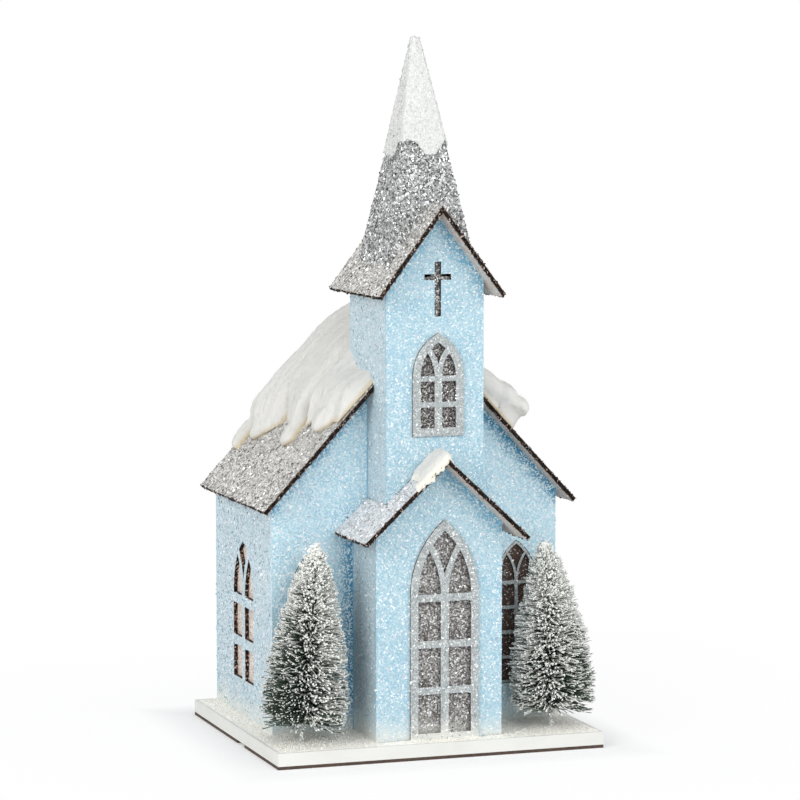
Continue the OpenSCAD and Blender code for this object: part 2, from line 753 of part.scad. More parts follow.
// Room behind the tree up to the nave's wall, along a level direction
function tree_room(angle) =
    let (room = nave_front - (tree_setback - base_d / 2) - 2 * gap)
    sin(angle) > 0 ? room / sin(angle) : nave_w;
module bristles(side, height) {
    first = slab_t / 2 + tree_foot;
    last = slab_t / 2 + height;
    core = stem_d / 2;
    color("darkslategray") tree_place(side) union() {
        translate([0, 0, first]) cylinder(d = stem_d, h = last - first, $fn = stem_sides);
        for (i = [0:bristle_count - 1]) {
            t = (i + 0.5) / bristle_count;
            angle = i * golden;
            z = first + bristle_w + t * (last - first - 2 * bristle_w);
            reach = min(tree_radius(t), tree_room(angle));
            tip = z - bristle_droop * (1 - t) + (z - first) * 0.02;
            translate([0, 0, 0]) rotate([0, 0, angle]) polyhedron(
                [[core / 3, -bristle_w / 2, z - bristle_w / 2], [core / 3, bristle_w / 2, z - bristle_w / 2],
                 [core / 3, 0, z + bristle_w / 2], [reach, 0, max(tip, slab_t / 2 + ground_snow_t + gap)]],
                [[0, 1, 2], [0, 3, 1], [1, 3, 2], [2, 3, 0]]);
        }
    }
}
module left_tree_bristles() { bristles(LEFT, left_tree_h); }
module right_tree_bristles() { bristles(RIGHT, right_tree_h); }

// Moulded case for two cells, let into the slab from above on a rim, open below
module battery_case() {
    color("white") difference() {
        union() {
            between([case_x0, case_y - case_w / 2, case_low],
                [case_x0 + case_l, case_y + case_w / 2, bay_top + case_wall]);
            between([case_x0 - case_rim, case_y - case_w / 2 - case_rim, base_h],
                [case_x0 + case_l + case_rim, case_y + case_w / 2 + case_rim, base_h + case_wall]);
        }
        between([bay_x0, case_y - bay_w / 2, case_low - cut], [bay_x0 + bay_l, case_y + bay_w / 2, bay_top]);
        between([switch_x0, case_y - bay_w / 2, case_low + door_t],
            [switch_x0 + switch_bay_l, case_y + bay_w / 2, bay_top]);
        between([knob_x - knob_l / 2 - gap, case_y - knob_w / 2 - gap, case_low - cut],
            [knob_x + knob_l / 2 + switch_travel + gap, case_y + knob_w / 2 + gap, case_low + door_t + cut]);
        for (side = [-1, 1]) translate([hinge_x, case_y + side * (bay_w / 2 + case_wall / 2), hinge_z])
            rotate([90, 0, 0]) cylinder(r = pin_r + pin_gap, h = case_wall + cut, center = true, $fn = 32);
        for (side = [-1, 1]) translate([0, case_y + side * lead_pitch / 2, bay_top - cut])
            cylinder(d = lead_d + gap, h = case_wall + 2 * cut, $fn = 24);
    }
}

// The door turns on two pins at the end of the bay, and has a finger notch at its free end
module battery_door() {
    half = bay_w / 2 - gap;
    free = bay_x0 + bay_l - gap;
    color("white") difference() {
        union() {
            between([hinge_x, case_y - half, case_low], [free, case_y + half, case_low + door_t]);
            translate([hinge_x, case_y + half, hinge_z]) rotate([90, 0, 0])
                cylinder(r = pin_r, h = 2 * half, $fn = 32);
            translate([hinge_x, case_y + half + gap + pin_l, hinge_z]) rotate([90, 0, 0])
                cylinder(r = pin_r, h = 2 * (half + gap + pin_l), $fn = 32);
        }
        translate([free, case_y, case_low - cut]) cylinder(r = finger_r, h = door_t / 2 + cut, $fn = 48);
    }
}

module battery_cells() {
    button_d = cell_d / 3;
    button_l = 1;
    for (side = [-1, 1]) color("gray")
        translate([bay_x0 + bay_l / 2, case_y + side * (cell_d + gap) / 2, cell_z])
        rotate([0, side * 90, 0]) translate([0, 0, -cell_l / 2]) {
            cylinder(d = cell_d, h = cell_l - button_l, $fn = 64);
            cylinder(d = button_d, h = cell_l, $fn = 48);
        }
}

// Sprung contact plates at both ends of the bay, each with a dimple that meets a cell
module battery_contacts() {
    plate_t = 0.4;
    for (end = [-1, 1], side = [-1, 1]) color("silver")
        translate([bay_x0 + bay_l / 2 + end * bay_l / 2, case_y + side * (cell_d + gap) / 2, cell_z])
        rotate([0, -end * 90, 0]) {
            translate([-cell_d / 3, -cell_d / 3, 0]) cube([2 * cell_d / 3, 2 * cell_d / 3, plate_t]);
            cylinder(d1 = cell_d / 2, d2 = cell_d / 4, h = contact_room - gap / 2, $fn = 48);
        }
}

switch_h = 5;
lead_d = 0.5;
lead_pitch = 2.54;
module switch_body() {
    color("dimgray") between(
        [switch_x0 + gap, case_y - switch_bay_l / 2, case_low + door_t + knob_w / 2],
        [switch_x0 + switch_bay_l - gap, case_y + switch_bay_l / 2, case_low + door_t + knob_w / 2 + switch_h]);
}

module switch_knob() {
    color("black") between([knob_x - knob_l / 2, case_y - knob_w / 2, case_low + gap],
        [knob_x + knob_l / 2, case_y + knob_w / 2, case_low + door_t + knob_w / 2 - gap / 3]);
}

// A small lamp with a domed head on the roof of the case
module lamp() {
    top = bay_top + case_wall;
    flange_h = 1;
    color("moccasin") translate([0, case_y, top]) {
        cylinder(d = lamp_d + 2 * gap, h = flange_h, $fn = 64);
        cylinder(d = lamp_d, h = lamp_h - lamp_d / 2, $fn = 64);
        translate([0, 0, lamp_h - lamp_d / 2]) intersection() {
            sphere(d = lamp_d, $fn = 64);
            translate([-lamp_d, -lamp_d, 0]) cube(2 * lamp_d);
        }
    }
}

module lamp_leads() {
    for (side = [-1, 1]) color("silver")
        translate([0, case_y + side * lead_pitch / 2, bay_top + gap]) cylinder(d = lead_d, h = case_wall - gap, $fn = 24);
}

base_slab();
bottom_board();
ground_snow();
nave_front_wall_left();
nave_front_wall_right();
nave_back_wall();
nave_left_wall();
nave_right_wall();
nave_roof_left();
nave_roof_right();
roof_snow();
tower_front_wall();
tower_back_wall();
tower_left_wall();
tower_right_wall();
tower_roof_left();
tower_roof_right();
tower_window_frame();
tower_window_film();
spire_front();
spire_back();
spire_left();
spire_right();
spire_snow();
porch_front_wall();
porch_left_wall();
porch_right_wall();
porch_roof_left();
porch_roof_right();
porch_snow();
door_frame();
door_film();
front_left_window_frame();
front_right_window_frame();
front_left_window_film();
front_right_window_film();
left_window_film();
right_window_film();
left_tree_stem();
left_tree_bristles();
right_tree_stem();
right_tree_bristles();
battery_case();
battery_door();
battery_cells();
battery_contacts();
switch_body();
switch_knob();
lamp();
lamp_leads();
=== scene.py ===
import math
from functools import partial

import bmesh
import bpy
from mathutils import Matrix, Vector, noise


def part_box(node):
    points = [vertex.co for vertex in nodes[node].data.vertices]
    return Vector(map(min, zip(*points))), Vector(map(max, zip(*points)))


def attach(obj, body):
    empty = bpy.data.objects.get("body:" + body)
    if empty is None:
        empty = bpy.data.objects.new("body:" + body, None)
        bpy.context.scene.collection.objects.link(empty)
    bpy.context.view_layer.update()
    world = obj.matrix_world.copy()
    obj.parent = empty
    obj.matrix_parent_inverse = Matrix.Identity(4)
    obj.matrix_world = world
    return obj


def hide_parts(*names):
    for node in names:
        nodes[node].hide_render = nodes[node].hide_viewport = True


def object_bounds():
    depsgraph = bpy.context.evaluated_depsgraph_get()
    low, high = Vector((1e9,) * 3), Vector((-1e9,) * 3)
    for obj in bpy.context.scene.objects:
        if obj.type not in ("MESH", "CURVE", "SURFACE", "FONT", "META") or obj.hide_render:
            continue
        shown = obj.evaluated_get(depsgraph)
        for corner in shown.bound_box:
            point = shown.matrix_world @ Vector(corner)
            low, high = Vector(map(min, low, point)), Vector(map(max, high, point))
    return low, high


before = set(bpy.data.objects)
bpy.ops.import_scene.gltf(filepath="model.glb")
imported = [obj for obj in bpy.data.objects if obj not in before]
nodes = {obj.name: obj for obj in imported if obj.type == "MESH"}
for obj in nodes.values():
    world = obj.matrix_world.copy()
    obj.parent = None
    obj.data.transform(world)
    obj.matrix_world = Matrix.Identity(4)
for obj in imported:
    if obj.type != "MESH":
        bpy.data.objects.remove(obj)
cad_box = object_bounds()

# The camera stands where the photograph was taken from: well to the left of the front, a little
# above the porch and far away, with a long lens, so that upright edges stay nearly parallel.
aim = Vector((0.0030, 0.0, 0.1585))
distance = 1.5936
left_of_front = math.radians(19.01)
above = math.radians(5.56)


def placed(name, data):
    """An object of a mesh, camera or light, put in the scene."""
    item = bpy.data.objects.new(name, data)
    bpy.context.scene.collection.objects.link(item)
    return item


camera = placed("camera", bpy.data.cameras.new("camera"))
camera.data.lens = 151.6
camera.data.sensor_width = 36.0
camera.data.clip_end = 50.0
camera.location = aim + distance * Vector((
    -math.sin(left_of_front) * math.cos(above),
    -math.cos(left_of_front) * math.cos(above),
    math.sin(above),
))
camera.rotation_euler = (aim - camera.location).to_track_quat("-Z", "Y").to_euler()
bpy.context.scene.camera = camera


# Base slab: a square of fibreboard, sanded round at its corners and brushed with thick
# cream-white emulsion along its edges. It is glued to the bottom board.
def linear(hex_colour):
    """An sRGB hex colour as the linear colour that a shader wants."""
    parts = [int(hex_colour[i:i + 2], 16) / 255 for i in (1, 3, 5)]
    return [c / 12.92 if c <= 0.04045 else ((c + 0.055) / 1.055) ** 2.4 for c in parts] + [1.0]


def put(tree, kind, *values, tones=(), **named):
    """Adds a node, filled with values and links.

    The kind goes without its family's name, and may end in its operation or type of data. Values
    fill the inputs in order, and capitalised names fill those of that name; other names are
    settings. A node is linked by its first output in use. tones are a colour ramp's steps.
    """
    kind, _, mode = kind.partition(" ")
    families = ("ShaderNode", "GeometryNode", "FunctionNode", "")
    item = tree.nodes.new(next(w + kind for w in families if hasattr(bpy.types, w + kind)))
    if mode:
        setattr(item, "operation" if hasattr(item, "operation") else "data_type", mode)
    for name in [name for name in named if name[0].islower()]:
        setattr(item, name, named.pop(name))
    filled = list(zip(item.inputs, values))
    for name, value in named.items():
        label = name.replace("_", " ")
        filled.append((next(i for i in item.inputs if i.enabled and i.name == label), value))
    for socket, value in filled:
        for one in value if isinstance(value, list) else [value]:
            if isinstance(one, bpy.types.Node):
                one = next(output for output in one.outputs if output.enabled)
            if isinstance(one, bpy.types.NodeSocket):
                tree.links.new(one, socket)
            else:
                is_hex = isinstance(one, str) and one.startswith("#")
                socket.default_value = linear(one) if is_hex else one
    if tones:
        item.color_ramp.interpolation = "CONSTANT"
        while len(item.color_ramp.elements) < len(tones):
            item.color_ramp.elements.new(1.0)
        for element, (start, colour) in zip(item.color_ramp.elements, tones):
            element.position = start
            element.color = linear(colour)
    return item


def new_finish(name):
    """An empty material, and put for its own tree."""
    finish = bpy.data.materials.new(name)
    finish.use_nodes = True
    finish.node_tree.nodes.clear()
    return finish, partial(put, finish.node_tree)


def dress(finish, *names):
    """Gives CAD nodes a finish in their material slots."""
    for name in names:
        for slot in nodes[name].material_slots:
            slot.material = finish


# Thick matt paint: soft level streaks under a faint sheen. Real brush marks lie about 0.8 mm
# apart; these are drawn twice as coarse, so that they show.
brush_mark = 0.0016
emulsion, add = new_finish("cream_emulsion_brushed_on_fibreboard")
where = add("TexCoord").outputs["Object"]
along = add("Mapping", Vector=where, Scale=(0.12, 0.12, 1.0))
streaks = add("TexNoise", Vector=along, Scale=1 / brush_mark, Detail=3.0, Roughness=0.6)
blotches = add("TexNoise", Vector=where, Scale=1 / 0.02, Detail=4.0)
tint = add("Mix RGBA", blotches, A="#e5e5e1", B="#d5d5cf")
relief = add("Bump", Height=streaks, Strength=0.5, Distance=0.0003)
add("OutputMaterial", add("BsdfPrincipled", Base_Color=tint, Roughness=0.62, Normal=relief))
dress(emulsion, "base_slab")

# Bottom board: a thin sheet of bare brown hardboard glued under the slab, sawn flush with it.
# Its sawn edge is drawn nearly black and its faces matt and a mid brown. The fibres are drawn at
# 1.2 mm, coarser than real ones, so that they show.
fibre = 0.0012
hardboard, add = new_finish("brown_hardboard_sawn")
coordinates = add("TexCoord")
where = coordinates.outputs["Object"]
fibres = add("TexNoise", Vector=where, Scale=1 / fibre, Detail=5.0)
tint = add("Mix RGBA", fibres, A="#17110e", B="#5f4a3d")
pressed = add("Mix RGBA", fibres, A="#6f5643", B="#a3886e")
level = add("SeparateXYZ", coordinates.outputs["Normal"]).outputs[2]
level = add("Math GREATER_THAN", add("Math ABSOLUTE", level), 0.7)
tint = add("Mix RGBA", level, A=tint, B=pressed)
relief = add("Bump", Height=fibres, Strength=0.4, Distance=0.0002)
add("OutputMaterial", add("BsdfPrincipled", Base_Color=tint, Roughness=0.75, Normal=relief))
dress(hardboard, "bottom_board")

# Ground snow: a thin drift of white sugar-like grains, stuck to wet glue on top of the slab. It
# lies deepest against the walls and thins out to single grains near the slab's edge.
def as_mesh(name, shape):
    """A new mesh of a finished bmesh."""
    mesh = bpy.data.meshes.new(name)
    shape.to_mesh(mesh)
    shape.free()
    return mesh


def clean_copy(name, sources, outward=None, least=0.9):
    """A merged copy of CAD nodes' meshes, or only of the faces that look nearly along outward."""
    shape = bmesh.new()
    for source in sources:
        shape.from_mesh(nodes[source].data)
    bmesh.ops.remove_doubles(shape, verts=shape.verts, dist=0.00002)
    shape.normal_update()
    if outward is not None:
        away = [face for face in shape.faces if face.normal.dot(outward) < least]
        bmesh.ops.delete(shape, geom=away, context="FACES")
    return as_mesh(name, shape)


def new_growth(title, sizes, counts=""):
    """An empty Geometry Nodes tree with named inputs, put for it, and the inputs' sockets."""
    growth = bpy.data.node_groups.new(title, "GeometryNodeTree")
    growth.interface.new_socket("Geometry", in_out="OUTPUT", socket_type="NodeSocketGeometry")
    for kind, names in (
        ("Geometry", "Geometry"), ("Float", sizes), ("Int", counts), ("Material", "Finish"),
    ):
        for name in names.split():
            growth.interface.new_socket(name, in_out="INPUT", socket_type="NodeSocket" + kind)
    return growth, partial(put, growth), put(growth, "NodeGroupInput").outputs


def closed(add, shape, finish):
    """Ends a Geometry Nodes tree: instances made real, and the finish set on all faces."""
    solid = add("RealizeInstances", shape)
    add("NodeGroupOutput", add("SetMaterial", solid, Material=finish))


def grown(growth, name, start, **sizes):
    """A plain-mesh piece that a Geometry Nodes tree makes from a starting mesh."""
    piece = placed(name, start)
    modifier = piece.modifiers.new(growth.name, "NODES")
    modifier.node_group = growth
    for item in growth.interface.items_tree:
        if item.in_out == "INPUT" and item.name in sizes:
            modifier[item.identifier] = sizes[item.name]
    bpy.context.view_layer.update()
    graph = bpy.context.evaluated_depsgraph_get()
    plain = bpy.data.meshes.new_from_object(
        piece.evaluated_get(graph), preserve_all_data_layers=True, depsgraph=graph)
    piece.modifiers.clear()
    plain.name = name
    piece.data = plain
    return piece


def strewing(title, shape, thinnest, widest, turned=math.pi):
    """A tree that strews small loose shapes over a surface, each at its own size, lean and tone.

    shape is the node that makes one, with its inputs. thinnest and widest are the limits of its
    share of Size, and turned is how far it may turn in the surface.
    """
    patch, cluster = 0.006, 0.003
    growth, add, given = new_growth(title, "Per_Square_Metre Size Lean Stops_At", "Seed")
    seed = given["Seed"]
    place = add("InputPosition")
    patches = add("TexNoise", Vector=place, Scale=1 / patch, Detail=2.0)
    patches = add("MapRange", patches, 0.3, 0.7, 0.35, 1.65)
    # Patches that push the tones up: where a ramp's top steps are white, these are painted glints
    # gathered in clusters
    bright = add("TexNoise", Vector=place, Scale=1 / cluster, Detail=1.0)
    bright = add("MapRange", bright, 0.3, 0.7, -0.15, 0.2)
    density = add("Math MULTIPLY", patches, given["Per_Square_Metre"])
    spots = add("DistributePointsOnFaces", given["Geometry"], Seed=seed, Density=density)
    high = add("SeparateXYZ", add("InputPosition")).outputs[2]
    above = add("Math GREATER_THAN", high, given["Stops_At"])
    left_on = add("DeleteGeometry", spots, above, domain="POINT")
    down = add("Math MULTIPLY", given["Lean"], -1.0)
    least = add("CombineXYZ", down, down, -turned)
    most = add("CombineXYZ", given["Lean"], given["Lean"], turned)
    lean = add("RandomValue FLOAT_VECTOR", least, most, Seed=seed)
    lean = add("EulerToRotation", lean)
    turn = add("RotateRotation", spots.outputs["Rotation"], lean, rotation_space="LOCAL")
    share = add("RandomValue FLOAT_VECTOR", thinnest, widest, Seed=seed)
    size = add("VectorMath SCALE", share, Scale=given["Size"])
    many = add("InstanceOnPoints", left_on, Instance=add(shape[0], **shape[1]), Rotation=turn,
        Scale=size)
    tone = add("RandomValue FLOAT", Seed=seed)
    tone = add("Math ADD", tone, bright, use_clamp=True)
    toned = add("StoreNamedAttribute FLOAT", many, Name="tone", Value=tone, domain="INSTANCE")
    closed(add, toned, given["Finish"])
    return growth


def toned_finish(name, tones, metal, rough):
    """A finish whose colour each loose shape picks at random, by its own tone."""
    finish, add = new_finish(name)
    pick = add("Attribute", attribute_name="tone")
    colour = add("ValToRGB", pick.outputs["Fac"], tones=tones)
    add("OutputMaterial", add("BsdfPrincipled", Base_Color=colour, Roughness=rough,
        Metallic=metal))
    return finish


def crust(name, tones, grain, strength, height, rough):
    """A skin of grains caked in glue, each with its own tone and its own small rise."""
    finish, add = new_finish(name)
    cells = add("TexVoronoi", Vector=add("TexCoord").outputs["Object"], Scale=1 / grain)
    tint = add("SeparateColor", cells.outputs["Color"]).outputs[0]
    tint = add("ValToRGB", tint, tones=tones)
    relief = add("Bump", Height=cells, Strength=strength, Distance=-height)
    add("OutputMaterial", add("BsdfPrincipled", Base_Color=tint, Roughness=rough, Normal=relief))
    return finish


strew_grains = strewing("strewn grains", ("MeshIcoSphere", {"Radius": 1.0, "Subdivisions": 1}),
                        (0.4, 0.4, 0.35), (1.0, 1.0, 0.8))
drift_step = 0.0013
skirt = 0.00005
tucked_under = 0.0012
lump_size, fine_size = 0.0045, 0.0015
to_rim = 0.6 * (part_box("base_slab")[1].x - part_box("ground_snow")[1].x)
drift_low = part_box("ground_snow")[0] - Vector((to_rim, to_rim, 0))
drift_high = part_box("ground_snow")[1] + Vector((to_rim, to_rim, 0))
walls_low = Vector((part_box("nave_left_wall")[0].x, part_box("nave_front_wall_left")[0].y, 0))
walls_high = Vector((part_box("nave_right_wall")[1].x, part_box("nave_back_wall")[1].y, 0))
porch_low = Vector((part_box("porch_left_wall")[0].x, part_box("door_frame")[0].y, 0))
porch_high = Vector((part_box("porch_right_wall")[1].x, walls_low.y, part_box("porch_roof_left")[0].z))


def off_walls(x, y):
    """How far a place on the slab is from what stands on it, below zero inside it."""
    nave = max(walls_low.x - x, x - walls_high.x, walls_low.y - y, y - walls_high.y)
    porch = max(porch_low.x - x, x - porch_high.x, porch_low.y - y, y - porch_high.y)
    return min(nave, porch)


columns = int((drift_high.x - drift_low.x) / drift_step)
rows = int((drift_high.y - drift_low.y) / drift_step)
shape = bmesh.new()
grid = {}
for j in range(rows + 1):
    for i in range(columns + 1):
        x = drift_low.x + (drift_high.x - drift_low.x) * i / columns
        y = drift_low.y + (drift_high.y - drift_low.y) * j / rows
        if off_walls(x, y) < -tucked_under:
            continue
        rim = min(x - drift_low.x, drift_high.x - x, y - drift_low.y, drift_high.y - y)
        lumps = 0.5 + 0.5 * noise.fractal(Vector((x, y, 0)) / lump_size, 1.0, 2.0, 3)
        fine = noise.noise(Vector((x, y, 0.3)) / fine_size)
        against = math.exp(-max(off_walls(x, y), 0) / 0.003)
        depth = 0.00025 + 0.0005 * lumps + 0.0009 * against * lumps + 0.00012 * fine
        depth *= min(1.0, max(0.0, rim) / (0.0012 + 0.003 * lumps))
        grid[i, j] = shape.verts.new((x, y, drift_low.z - skirt + max(depth, 0.0)))
for i, j in grid:
    corners = [(i, j), (i + 1, j), (i + 1, j + 1), (i, j + 1)]
    if all(corner in grid for corner in corners):
        shape.faces.new([grid[corner] for corner in corners])
for vert in [v for v in shape.verts if not v.link_faces]:
    shape.verts.remove(vert)
drift_mesh = as_mesh("ground_snow_drift", shape)
drift_mesh.shade_smooth()
drift = placed("ground_snow_drift", drift_mesh)
# Caked grains: a matt, rough skin in off-whites. They are drawn at 0.7 mm, coarser than real
# ones of 0.3 to 0.5 mm, so that they show; the loose ones on top glisten a little.
drift_mesh.materials.append(crust("snow_grains_caked_in_glue", [
    (0.0, "#f6f4ec"), (0.5, "#eeece2"), (0.8, "#fdfcf8"), (0.92, "#dedbd0")],
    0.0007, 0.7, 0.0004, 0.55))
loose_snow = toned_finish("loose_snow_grains", [(0.0, "#f4f1e8"), (0.45, "#e9e6dc"),
    (0.7, "#fdfcf7"), (0.93, "#d9d6cc")], 0.0, 0.4)
grains = grown(strew_grains, "ground_snow_grains", drift_mesh.copy(), Per_Square_Metre=0.45e6,
    Size=0.00042, Lean=3.0, Seed=3, Stops_At=1.0, Finish=loose_snow)
for piece in (drift, grains):
    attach(piece, "house")
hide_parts("ground_snow")

# Walls: 2 mm board cut by laser, painted light blue, glued over and strewn with clear and white
# mica flakes under 1 mm across, so that they glint. Cut edges stay burnt dark brown. Under the
# eaves and in the nave's corners by the porch the paint is drawn deeper and the flakes thinner, as
# painted shade.
def glittered_board(name, node, outward, grounds, flakes, flake, cover, back_colour, wraps_at=None,
                    eave_shade=None, corner=None, lift=0.00016, burnt=("#0a0604", "#22160f"),
                    speckless=0.95, strays=0.5):
    """Dresses one board: flakes glued on its outer face, burnt edges, and a bare or dusted back.

    grounds are the paint's light and deep tints; the deep one takes both the paint's random drifts
    and the painted shade. flakes are the steps of the flakes' tones, flake their size, cover the
    share of the face that they hide, and lift how high they tilt. wraps_at is the half-width past
    which the flakes run round the board's end. eave_shade is (ridge height, slope, depth) of the
    painted shade under the eaves, and corner is the half-width at which another board stands
    against this one, where painted shade is drawn in the corner. burnt are the cut edge's tints,
    speckless the share of it without specks, and strays the share of flakes behind.
    """
    drift, dragged, char_grain, facing = 0.014, 0.006, 0.0009, 0.7
    finish, add = new_finish(name)
    outer_level = max(outward.dot(vertex.co) for vertex in nodes[node].data.vertices)
    coordinates = add("TexCoord")
    where = coordinates.outputs["Object"]
    face = add("VectorMath DOT_PRODUCT", coordinates.outputs["Normal"], outward)
    cells = add("TexVoronoi", Vector=where, Scale=1 / flake, Randomness=1.0)
    picks = add("SeparateColor", cells.outputs["Color"])
    drifts = add("TexNoise", Vector=where, Scale=1 / drift, Detail=3.0)
    deep = add("MapRange", drifts, 0.4, 0.8, 0.0, 0.5)
    place = add("SeparateXYZ", where)
    across = add("Math ABSOLUTE", place.outputs[0])
    # Painted shade: the paint deepens below the roof line, to the given depth under the eaves
    if eave_shade:
        ridge, slope, depth = eave_shade
        fall = add("Math MULTIPLY_ADD", across, math.tan(slope), place.outputs[2])
        ragged = add("TexNoise", Vector=where, Scale=1 / dragged, Detail=3.0)
        shift = add("Math MULTIPLY_ADD", ragged, 0.012, -0.006)
        fall = add("Math ADD", fall, shift)
        painted_eave_shade = add("MapRange", fall, ridge - depth / math.cos(slope), ridge,
            interpolation_type="SMOOTHSTEP")
        deep = add("Math MAXIMUM", deep, painted_eave_shade)
    # Painted shade in the corner where the porch stands against the nave, fading out a little above
    # the porch's top
    if corner:
        painted_corner_shade = add("MapRange", across, corner, corner + 0.012, 1.0, 0.0,
            interpolation_type="SMOOTHSTEP")
        below = add("MapRange", place.outputs[2], porch_high.z, porch_high.z + 0.02, 1.0, 0.15,
            interpolation_type="SMOOTHSTEP")
        painted_corner_shade = add("Math MULTIPLY", painted_corner_shade, below)
        deep = add("Math MAXIMUM", deep, painted_corner_shade)
    ground = add("Mix RGBA", deep, A=grounds[0], B=grounds[1])
    # Where the painted shade lies, the flakes are drawn thinner too
    thin = add("Math MULTIPLY_ADD", deep, -0.55 * cover, cover)
    stuck = add("Math LESS_THAN", picks.outputs[1], thin)
    skin = add("Mix RGBA", stuck, A=ground, B=add("ValToRGB", picks.outputs[0], tones=flakes))
    low = add("Math MULTIPLY_ADD", drifts, -0.014, place.outputs[2])
    buried = add("MapRange", low, drift_low.z - 0.008, drift_low.z + 0.007, 0.85, 0.0,
        interpolation_type="SMOOTHSTEP")
    skin = add("Mix RGBA", buried, A=skin, B="#e6e6de")
    # Burnt edge: nearly black, with the board's paler skins as a hairline on both sides
    depth_in = add("VectorMath DOT_PRODUCT", where, outward)
    layer = add("MapRange", depth_in, outer_level - board_t, outer_level)
    inside = add("Math COMPARE", layer, 0.5, 0.4)
    burn = add("TexNoise", Vector=where, Scale=1 / char_grain, Detail=4.0, Roughness=0.7)
    char = add("MapRange", burn, 0.45, 0.75)
    edge = add("Mix RGBA", char, A=burnt[0], B=burnt[1])
    edge = add("Mix RGBA", inside, A="#7a5f4e", B=edge)
    specks = add("Math GREATER_THAN", picks.outputs[2], speckless)
    crumbs = add("ValToRGB", picks.outputs[0], tones=[(0.0, "#5a4435"), (0.35, "#8d7566"),
        (0.8, "#c9b8ab")])
    edge = add("Mix RGBA", specks, A=edge, B=crumbs)
    outer = add("Math GREATER_THAN", face, facing)
    if wraps_at:
        ends = add("Math GREATER_THAN", across, wraps_at - 0.0002)
        outer = add("Math MAXIMUM", outer, ends)
    inner = add("Math LESS_THAN", face, -facing)
    dusty = add("Mix RGBA", drifts, A=back_colour, B="#d3c2b6")
    stray = add("Math LESS_THAN", picks.outputs[1], strays)
    dusty = add("Mix RGBA", stray, A=dusty, B="#cdd8dd")
    colour = add("Mix RGBA", outer, A=edge, B=skin)
    colour = add("Mix RGBA", inner, A=colour, B=dusty)
    # Each flake lies at its own slight tilt, which is what makes glitter glint
    offset = add("VectorMath SUBTRACT", where, cells.outputs["Position"])
    lean = add("VectorMath SUBTRACT", cells.outputs["Color"], (0.5, 0.5, 0.5))
    tilt = add("VectorMath DOT_PRODUCT", offset, lean)
    height = add("Math MULTIPLY_ADD", tilt, 1 / flake, picks.outputs[1])
    relief = add("Bump", Height=height, Strength=1.0, Distance=lift)
    shiny = add("Math MULTIPLY", stuck, outer)
    rough = add("MapRange", shiny, 0.0, 1.0, 0.85, 0.35)
    add("OutputMaterial", add("BsdfPrincipled", Base_Color=colour, Roughness=rough, Normal=relief,
        Specular_IOR_Level=0.25))
    dress(finish, node)


# Mica is clear and flat, so that each flake shows the paint under it; its white flashes are painted
# glints in the flakes' tones. Such flakes measure 0.2 to 1 mm; they are drawn at the upper end and
# somewhat over, so that they show.
flake = 0.0007
board_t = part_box("porch_front_wall")[1].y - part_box("porch_front_wall")[0].y
FRONT, BACK = Vector((0, -1, 0)), Vector((0, 1, 0))
LEFT, RIGHT = Vector((-1, 0, 0)), Vector((1, 0, 0))
nave_ridge, nave_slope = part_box("nave_back_wall")[1].z, math.radians(47)
tower_ridge, tower_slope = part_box("tower_front_wall")[1].z, math.radians(53)
porch_ridge, porch_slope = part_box("porch_front_wall")[1].z, math.radians(43)
BLUE = ("#aacad7", "#72abc9")
# The nave's front, set back between tower and porch, is painted paler as painted light, with a darker
# deep tint for the painted shade in its corners
NAVE_BLUE_PAINTED_LIT_AND_SHADED = ("#bddbe7", "#4c90b6")
# The side walls get a paler, greyer copy of the paint, and of the flakes below, as painted light for
# how light falls on the sides
SIDE_BLUE_PAINTED_LIGHT = ("#c1d0d6", "#8cb0c1")
# The pale and white top steps of these flake tones are partly white flakes and partly painted glints
MICA_ON_BLUE = [(0.0, "#b2cfda"), (0.3, "#a5c7d5"), (0.48, "#c1d8e0"), (0.68, "#96becf"),
    (0.8, "#d4e3e8"), (0.9, "#c5ccda"), (0.95, "#eef4f6")]
# Paler flakes for the set-back nave front: painted light
MICA_PAINTED_LIGHTER_ON_NAVE = [(0.0, "#c6e2ec"), (0.3, "#b8d9e6"), (0.48, "#d2e8ef"), (0.68, "#a6cee0"),
    (0.8, "#e2eff3"), (0.9, "#d3dae6"), (0.95, "#f8fcfd")]
# Paler, greyer flakes for the side walls: painted light
MICA_ON_SIDE = [(0.0, "#bccfd7"), (0.3, "#abc4ce"), (0.48, "#c8d7dd"), (0.68, "#a6c0cb"),
    (0.8, "#d6e1e5"), (0.9, "#bcbfc8"), (0.95, "#edf2f4")]
BARE_BOARD = "#8a7460"
# Depth of the painted shade under the eaves
eave_shade_depth = 0.010
for node, outward, ridge, slope in (
    ("nave_front_wall_left", FRONT, nave_ridge, nave_slope),
    ("nave_front_wall_right", FRONT, nave_ridge, nave_slope),
    ("nave_back_wall", BACK, nave_ridge, nave_slope),
    ("tower_front_wall", FRONT, tower_ridge, tower_slope),
    ("tower_back_wall", BACK, tower_ridge, tower_slope),
    ("porch_front_wall", FRONT, porch_ridge, porch_slope),
):
    half_width = max(abs(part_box(node)[0].x), abs(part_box(node)[1].x))
    # The set-back nave front takes the painted-light copies of paint and flakes
    sunk = "nave_front" in node
    glittered_board("mica_on_blue_" + node, node, outward, NAVE_BLUE_PAINTED_LIT_AND_SHADED if sunk else BLUE,
                    MICA_PAINTED_LIGHTER_ON_NAVE if sunk else MICA_ON_BLUE, flake, 0.8, BARE_BOARD,
                    half_width, (ridge, slope, eave_shade_depth), porch_high.x if sunk else None)
